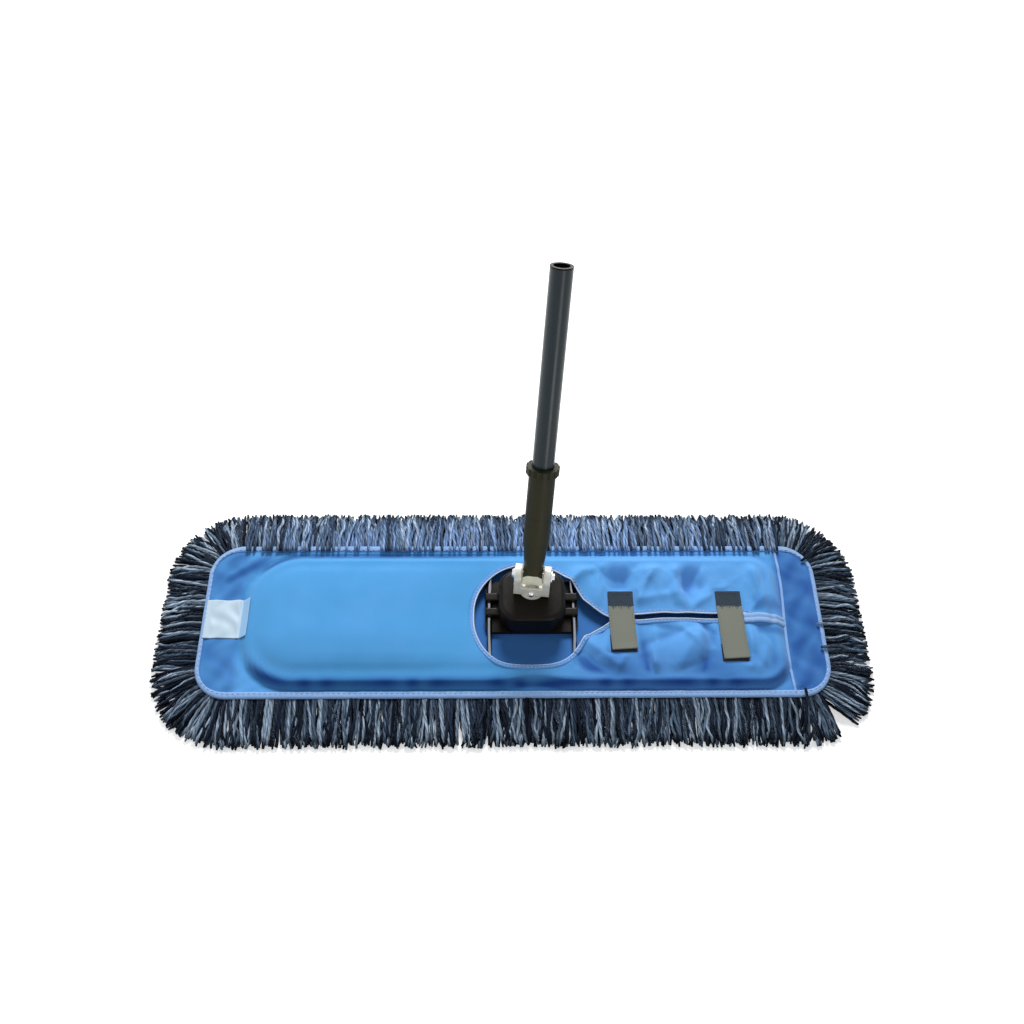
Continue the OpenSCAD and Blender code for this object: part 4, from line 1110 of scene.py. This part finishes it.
# %% Bindings
TAPE_COUNT, RIM_COUNT = 1100, 760
TAPE_STITCH, RIM_STITCH = (5.6 * MM, 3.4 * MM, 0.42 * MM), (4.2 * MM, 2.6 * MM, 0.42 * MM)
TAPE_PULL, TAPE_WAVE, TAPE_NARROWER, TAPE_EDGE = 0.16 * MM, 0.25 * MM, 0.5, 1.0 * MM
TAPE_SECTION = np.array([
    (-6.2, 15.7), (-6.0, 16.5), (-4.9, 17.0), (-2.4, 17.1), (-0.5, 16.9), (0.7, 16.2),
    (1.3, 15.0), (0.9, 13.8), (-0.4, 13.0), (-3.0, 12.7), (-3.0, 13.0), (-0.2, 13.7),
    (0.3, 14.4), (0.3, 15.2), (-0.8, 15.9), (-3.0, 16.0),
]) * MM
RIM_SECTION = np.array([
    (0.6, -0.9), (0.8, -0.2), (0.4, 0.5), (-0.4, 0.75), (-1.2, 0.62), (-1.9, 0.3),
    (-2.5, 0.6), (-3.1, 0.7), (-3.6, 0.5), (-3.9, 0.1), (-3.8, -0.6), (-2.0, -0.9),
]) * MM
# The cord's pale colour is a painted highlight on the rim's edge; on the shaded near side it sinks by CORD_SUNK.
CORD_R, CORD_OFF, CORD_SUNK = 0.8 * MM, 0.5 * MM, 0.9 * MM
rim_blue = cloth_finish("rim_fold", (104, 160, 228), (120, 170, 232), **TAPE_WEAVE)
cord_painted_highlight = cloth_finish("edge_cord_painted_highlight", (206, 222, 244), (220, 232, 248), threads=1800.0, patch_scale=60.0)

tape_points = carry_round(TAPE_SECTION, TAPE_COUNT)
tape_way = np.linspace(0, RIM_LENGTH, TAPE_COUNT, endpoint=False)
tape_wave = TAPE_PULL * np.cos(TURN * np.round(RIM_LENGTH / TAPE_STITCH[0]) * tape_way / RIM_LENGTH)
tape_wave += TAPE_WAVE * slow_wave(tape_way, (40, 61, 97), 12)
tape_points[..., 2] += tape_wave[:, None]
centre, out, _ = round_the_rim(tape_way)
tape_ends = TAPE_NARROWER * smooth_step(np.abs(out[:, 0]))
narrowed = tape_ends[:, None] * -np.clip(TAPE_SECTION[:, 0] + TAPE_EDGE, None, 0)
tape_points[..., :2] += narrowed[..., None] * out[:, None]
tape = put_grid("hem_tape", tape_points, wrap_rows=True, wrap_columns=True)
dress(tape, binding_blue, "mop_head")
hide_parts("hem_binding")

rim_line = on_pocket(keyhole_outline(evenly(RIM_COUNT)), 0.0)
rim = swept("keyhole_rim", rim_line, RIM_SECTION, closed=True)
dress(rim, rim_blue, "mop_head")
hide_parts("keyhole_binding")
cord_section = rounded_bar(2 * CORD_R, 2 * CORD_R, 8, 2.0) + CORD_OFF
cord_line = rim_line - CORD_SUNK * ramp(-rim_line[:, 1], 25, 25)[:, None] * UP
cord = swept("keyhole_cord", cord_line, cord_section, closed=True)
dress(cord, cord_painted_highlight, "mop_head")
print("tape", TAPE_COUNT, "sections, rim", RIM_COUNT, "sections")

# %% Rows of stitches and the end seam
SEAM_WIDTH, SEAM_HEIGHT, SEAM_END, SEAM_LIFT = 3.0 * MM, 1.6 * MM, 88 * MM, 0.5 * MM
STITCH_IN, STITCH_ENDS, STITCH_Z = 4.2 * MM, 3.2 * MM, 17.2 * MM
RIM_GROOVE = np.array([(-1.9, 0.55)]) * MM
CLOSED_SECTION = np.array([
    (5.5, -0.9), (5.6, -0.1), (5.0, 0.7), (3.1, 1.1), (1.1, 0.8), (0.25, 0.3),
    (-0.25, 0.3), (-1.1, 0.8), (-3.1, 1.1), (-5.0, 0.7), (-5.6, -0.1), (-5.5, -0.9),
]) * MM
stitch_in = BACKING_CORNER - STITCH_IN + STITCH_ENDS * tape_ends
tape_line = np.concatenate([centre + stitch_in[:, None] * out, (STITCH_Z + tape_wave)[:, None]], -1)
rim_middle = carry(rim_line, RIM_GROOVE, closed=True)[:, 0]
seam_y = np.linspace(SEAM_END, -SEAM_END, 160)
seam_line = on_pocket(np.stack([SEAM_X + 2 * MM * np.sin(seam_y / (31 * MM)), seam_y], -1), SEAM_LIFT)
welt = swept("end_seam", seam_line, rounded_bar(SEAM_WIDTH, SEAM_HEIGHT, 12, 2.5))
dress(welt, binding_blue, "mop_head")
closed_x = np.linspace(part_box("closure_strap_outer")[1].x + 0.6 * MM, SEAM_X - 0.8 * MM, 60)
over_rim = 1 - ramp(closed_x - rim_high.x, 0, 9)
closed_line = on_pocket(np.stack([closed_x, closed_slit_y(closed_x)], -1), (0.5 + 0.9 * over_rim) * MM)
closed_edges = swept("closed_slit", closed_line, CLOSED_SECTION)
dress(closed_edges, binding_blue, "mop_head")
tape_stitches = stitch_row("tape_stitches", tape_line, *TAPE_STITCH)
rim_stitches = stitch_row("rim_stitches", rim_middle, *RIM_STITCH)
for row in (tape_stitches, rim_stitches):
    dress(row, stitch_thread, "mop_head")
    print(row.name, len(row.data.vertices) // (4 * STRAND_SIDES), "stitches")

# %% [markdown]
# ## The label
# A blank label of white tape is sewn into the left end. It starts on the binding, dips to the hem and
# climbs the pocket's wall, where its loose end lifts a little. The strip at its end is pale blue.

# %% The label
label_low, label_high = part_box("care_label")
LABEL_STEPS, LABEL_THICKNESS = (56, 40), 0.4 * MM
LABEL_WHITE, LABEL_BLUE, LABEL_STRIP = colour(186, 208, 224), colour(150, 194, 232), (0.80, 0.83)
label_x, label_y = np.meshgrid(
    np.linspace(label_low.x, label_high.x, LABEL_STEPS[0]),
    np.linspace(label_low.y, label_high.y, LABEL_STEPS[1]),
    indexing="ij",
)
over_tape = 1 - ramp(label_x - label_low.x, 3, 9)
loose_end = ramp(label_x - label_high.x, -14, 14)
label_lift = 0.8 + 0.9 * over_tape + loose_end * (0.3 + 0.7 * (label_y / label_high.y) ** 2)
label_z = pocket_height(label_x, label_y) + label_lift * MM
label = put_grid("blank_label", np.stack([label_x, label_y, label_z], -1))
thicken(label, LABEL_THICKNESS)

label_finish, label_tree, label_shader = start_material("label_cloth", Roughness=0.6, Sheen_Weight=0.15)
label_woven = place_group(label_tree, weave, Coordinates=object_place(label_tree), Threads=1600.0)
label_strip = map_range(label_tree, uv_axes(label_tree)[0], LABEL_STRIP)
label_shade = mix_colour(label_tree, label_strip, LABEL_WHITE, LABEL_BLUE)
feed(label_tree, label_shader.inputs["Base Color"], label_shade)
bump(label_tree, label_shader, label_woven["Height"], 0.3, 0.06 * MM)
dress(label, label_finish, "mop_head")
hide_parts("care_label")
print("label:", LABEL_STEPS)

# %% [markdown]
# ## The straps
# Two webbing straps close the slit. The dark end of each is sewn down behind the slit with a box stitch.
# The grey end reaches over the slit and is pressed onto a patch of hooks. The strap bends at its sewn end
# when it is peeled.


# %% Webbing finishes
def webbing_finish(name, shade):
    """Ribbed webbing: the weave drawn out along the strap, with dark gaps between its cords."""
    made, tree, shader = start_material(name, Roughness=0.78, Sheen_Weight=0.2, Specular_IOR_Level=0.3)
    drawn = add_node(tree, "ShaderNodeMapping", {"Vector": object_place(tree), "Scale": (1.0, 1.7, 1.0)})
    woven = place_group(tree, weave, Coordinates=drawn.outputs[0], Threads=420.0, Patch_Scale=60.0)
    gaps = map_range(tree, woven["Thread"], after=(0.5, 1.1))
    feed(tree, shader.inputs["Base Color"], mix_colour(tree, 1.0, shade, gaps, "MULTIPLY"))
    bump(tree, shader, woven["Height"], 0.7, 0.25 * MM)
    return made


dark_webbing = webbing_finish("dark_webbing", colour(34, 52, 68))
grey_webbing = webbing_finish("grey_webbing", colour(132, 136, 124))
hook_tape = webbing_finish("hook_tape", colour(24, 30, 38))
dark_thread = cloth_finish("dark_thread", (58, 78, 98), (70, 90, 110), **THREAD_WEAVE)
print("finishes:", dark_webbing.name, grey_webbing.name, hook_tape.name)

# %% The straps
STRAP_LAP, BEND_LENGTH, STRAP_LIFT, STRAP_DRIFT = 4 * MM, 11 * MM, 0.5 * MM, 1.5 * MM
EDGE_INSET, BOX_INSET = 2 * MM, 3 * MM
EDGE_STITCH, BOX_STITCH = (3.4 * MM, 2.2 * MM, 0.3 * MM), (3.2 * MM, 2.3 * MM, 0.34 * MM)
HOOK_PITCH, HOOK_R = 1.35 * MM, 0.16 * MM
HOOK_SHAPE = np.array([(0, 0, 0.5), (0, 0, 0.8), (0.25, 0.1, 1.0), (0.55, 0.1, 0.85)]) * MM
PATCH_THICKNESS, PATCH_RISE = 0.55 * MM, 0.3 * MM


def level_path(x, y_first, y_last, z, count):
    """Points on a straight line across the mop, at one height."""
    return np.stack([np.full(count, x), np.linspace(y_first, y_last, count), np.full(count, z)], -1)


straps, anchors = [], []
for place in ("inner", "outer"):
    low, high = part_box("closure_strap_" + place)
    hold_low, hold_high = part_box("strap_anchor_" + place)
    patch_low, patch_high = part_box("hook_patch_" + place)
    middle, width, thick = (low.x + high.x) / 2, high.x - low.x, high.z - low.z

    way_y = np.linspace(high.y + STRAP_LAP, low.y, 56)
    reach = (high.y - way_y) / (high.y - low.y)
    lift = 0.6 * np.sin(math.pi * np.clip(reach, 0, 1)) + smooth_step((reach - 0.8) / 0.2)
    way_z = (low.z + high.z) / 2 + STRAP_LIFT * lift
    strap_path = np.stack([middle + STRAP_DRIFT * reach ** 2, way_y, way_z], -1)
    strap = swept("webbing_" + place, strap_path, rounded_bar(width, thick))
    strap_edges = []
    for side, sign in (("left", -1), ("right", 1)):
        edge = np.array([(sign * (width / 2 - EDGE_INSET), thick / 2)])
        edge_line = carry(strap_path[6:], edge)[:, 0]
        strap_edges.append(stitch_row(f"strap_stitches_{place}_{side}", edge_line, *EDGE_STITCH))
    for piece in (strap, *strap_edges):
        dress(piece, grey_webbing)
        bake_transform(piece)
    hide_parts("closure_strap_" + place)
    straps.append((strap, strap_edges))

    hold_path = level_path(middle, hold_high.y, hold_low.y, (hold_low.z + hold_high.z) / 2, 30)
    anchor = swept("sewn_end_" + place, hold_path, rounded_bar(width, hold_high.z - hold_low.z, power=7.0))
    dress(anchor, dark_webbing, "mop_head")
    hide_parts("strap_anchor_" + place)
    box_depth = hold_high.y - hold_low.y - 2 * BOX_INSET
    box_x = middle + (width / 2 - BOX_INSET) * np.array([-1, 1, 1, -1, -1, 1, -1, 1])
    box_y = hold_low.y + BOX_INSET + box_depth * np.array([0, 0, 1, 1, 0, 1, 1, 0])
    box_line = np.stack([box_x, box_y, np.full(8, hold_high.z)], -1)
    box_stitch = stitch_row("box_stitch_" + place, box_line, *BOX_STITCH)
    dress(box_stitch, dark_thread, "mop_head")
    anchors.append((anchor, box_stitch))

    patch_path = level_path(middle, patch_high.y, patch_low.y, patch_low.z + PATCH_RISE, 12)
    patch = swept("hook_tape_" + place, patch_path, rounded_bar(width, PATCH_THICKNESS))
    dress(patch, hook_tape, "mop_head")
    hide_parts("hook_patch_" + place)
    hook_columns = np.arange(low.x + HOOK_PITCH, high.x, HOOK_PITCH)
    hook_rows = np.arange(patch_low.y + HOOK_PITCH, patch_high.y, HOOK_PITCH)
    hook_feet = np.stack(np.meshgrid(hook_columns, hook_rows, [patch_low.z]), -1).reshape(-1, 1, 3)
    hook_count = len(hook_feet)
    hook_ids = random.uniform(0, 1, hook_count)
    hooks = strands("hooks_" + place, hook_feet + HOOK_SHAPE, np.full(hook_count, HOOK_R), hook_ids)
    dress(hooks, hook_tape, "mop_head")
    print(strap.name, anchor.name, patch.name, "with", hook_count, "hooks")

# %% [markdown]
# ## Sheets

# %% Sheets
print("sheets: none declared")

# %% [markdown]
# ## Metal and mouldings
# The hard pieces keep their solids, which are exact. Their finishes add fine grain, scuffs that dull the
# gloss in places, and a rounded look at the edges, which the shader takes from a bevel of a fraction of a
# millimetre. The knuckle at the foot of the socket is as pale as the yoke, up to an arched line.

# %% Hard finishes
GRAIN_SCALE, SCUFF_SCALE, GRAIN_DEPTH, SOFT_EDGE = 700.0, 38.0, 0.02 * MM, 0.5 * MM
KNUCKLE_CREAM, KNUCKLE_TOP, KNUCKLE_ARCH = (0.94, 0.92, 0.71, 1), 4.6 * MM, 25.0
HARD_LOOKS = {
    "plated_wire": ((0.30, 0.32, 0.36, 1), (0.20, 0.21, 0.24, 1), 0.10, 0.36, {"Metallic": 1.0}),
    "black_moulding": (colour(11, 8, 3), colour(19, 14, 7), 0.30, 0.46, {"Specular_IOR_Level": 0.12}),
    "steel": ((0.72, 0.73, 0.75, 1), (0.55, 0.55, 0.56, 1), 0.18, 0.38, {"Metallic": 1.0}),
    "nylon": (colour(226, 226, 220), colour(206, 206, 200), 0.38, 0.55, {}),
    "cast_yoke": ((0.87, 0.86, 0.76, 1), (0.79, 0.78, 0.69, 1), 0.30, 0.46, {"Metallic": 0.1}),
    "socket_moulding": (colour(38, 37, 15), colour(50, 49, 27), 0.42, 0.6, {"Specular_IOR_Level": 0.2}),
    "tube_enamel": (colour(18, 36, 43), colour(26, 44, 51), 0.26, 0.36, {"Specular_IOR_Level": 0.35}),
}
HARD_NODES = {
    "plated_wire": ("frame_sides", "frame_ends", "cross_wires"),
    "black_moulding": ("clamp_plate", "end_bush"),
    "steel": (
        "clamp_screws", "swivel_bolt", "swivel_nut", "nut_washer", "tension_screw", "tilt_pin", "pin_clip",
    ),
    "nylon": ("thrust_washer", "friction_washers", "grip_bush"),
    "socket_moulding": ("lock_collar",),
    "socket_knuckle": ("handle_socket",),
    "tube_enamel": ("handle_tube",),
}


def hard_finish(name, shade, scuffed, gloss, worn, sockets):
    """A hard surface: shade and gloss change where scuffs are, and the grain and the soft edge shape the
    normal."""
    made, tree, shader = start_material(name, **sockets)
    rough = place_group(tree, grain, Scale=GRAIN_SCALE, Scuff_Scale=SCUFF_SCALE)
    feed(tree, shader.inputs["Roughness"], map_range(tree, rough["Scuffs"], after=(gloss, worn)))
    feed(tree, shader.inputs["Base Color"], mix_colour(tree, rough["Scuffs"], shade, scuffed))
    soft_edge = add_node(tree, "ShaderNodeBevel", {"Radius": SOFT_EDGE}, samples=4)
    bump(tree, shader, rough["Height"], 0.4, GRAIN_DEPTH, Normal=soft_edge.outputs[0])
    return made


def knuckle_mask(tree):
    """One on the knuckle at the socket's foot, below an arched line: the height above the tilt pin, plus a
    share of the square of the distance to the side, stays under a limit."""
    joints = {joint["name"]: joint for joint in frame["joints"]}
    tilt, slide = joints["handle_tilt"], joints["tube_slide"]
    from_pin = {0: object_place(tree), 1: tilt["pos_m"]}
    off_pin = add_node(tree, "ShaderNodeVectorMath", from_pin, operation="SUBTRACT").outputs[0]
    upward, sideward = (
        add_node(tree, "ShaderNodeVectorMath", {0: off_pin, 1: axis}, operation="DOT_PRODUCT")
        for axis in (slide["axis"], tilt["axis"])
    )
    up, side = upward.outputs["Value"], sideward.outputs["Value"]
    arched = math_node(tree, "MULTIPLY_ADD", math_node(tree, "MULTIPLY", side, side), KNUCKLE_ARCH, up)
    return map_range(tree, arched, (KNUCKLE_TOP, KNUCKLE_TOP + 0.5 * MM), (1.0, 0.0))


finishes = {name: hard_finish(name, *look) for name, look in HARD_LOOKS.items()}
finishes["socket_knuckle"] = finishes["socket_moulding"].copy()
knuckle_tree = finishes["socket_knuckle"].node_tree
knuckle_base = knuckle_tree.nodes["Principled BSDF"].inputs["Base Color"]
moulded = knuckle_base.links[0].from_socket
knuckle_shade = mix_colour(knuckle_tree, knuckle_mask(knuckle_tree), moulded, KNUCKLE_CREAM)
feed(knuckle_tree, knuckle_base, knuckle_shade)
for finish, node_names in HARD_NODES.items():
    for node_name in node_names:
        solid = frame["nodes"][node_name].data
        solid.materials.clear()
        solid.materials.append(finishes[finish])
print("hard finishes:", len(finishes), "on", sum(map(len, HARD_NODES.values())), "solids")

# %% [markdown]
# ## Housing and yoke
# The housing is a moulding and the yoke a casting, and both have generous soft edges. Each is a copy of its
# solid whose triangles are welded, rebuilt as an even grid of quads and smoothed for a few rounds.


# %% Housing and yoke
def softened(name, node_name, voxel, rounds):
    """A copy of a solid with soft edges: flat faces stay flat, and edges are rounded over a few voxels."""
    solid = frame["nodes"][node_name]
    rough_mesh = solid.data.copy()
    rough_mesh.transform(solid.matrix_world)
    welded = bmesh.new()
    welded.from_mesh(rough_mesh)
    bmesh.ops.remove_doubles(welded, verts=welded.verts, dist=0.001 * MM)
    welded.to_mesh(rough_mesh)
    welded.free()
    rough = bpy.data.objects.new(name + "_rough", rough_mesh)
    scene.collection.objects.link(rough)
    quads = rough.modifiers.new("quads", "REMESH")
    quads.mode, quads.voxel_size = "VOXEL", voxel
    soft = rough.modifiers.new("soft", "SMOOTH")
    soft.iterations, soft.factor = rounds, 0.5
    bpy.context.view_layer.update()
    mesh = bpy.data.meshes.new_from_object(rough.evaluated_get(bpy.context.evaluated_depsgraph_get()))
    mesh.name = name
    mesh.polygons.foreach_set("use_smooth", np.ones(len(mesh.polygons), bool))
    bpy.data.objects.remove(rough)
    made = bpy.data.objects.new(name, mesh)
    scene.collection.objects.link(made)
    print(name, len(mesh.polygons), "quads")
    return made


housing = softened("housing_moulding", "connector_housing", 0.8 * MM, 5)
dress(housing, finishes["black_moulding"], "mop_head")
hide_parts("connector_housing")
yoke = softened("yoke_casting", "yoke", 0.55 * MM, 4)
dress(yoke, finishes["cast_yoke"], "yoke")
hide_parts("yoke")
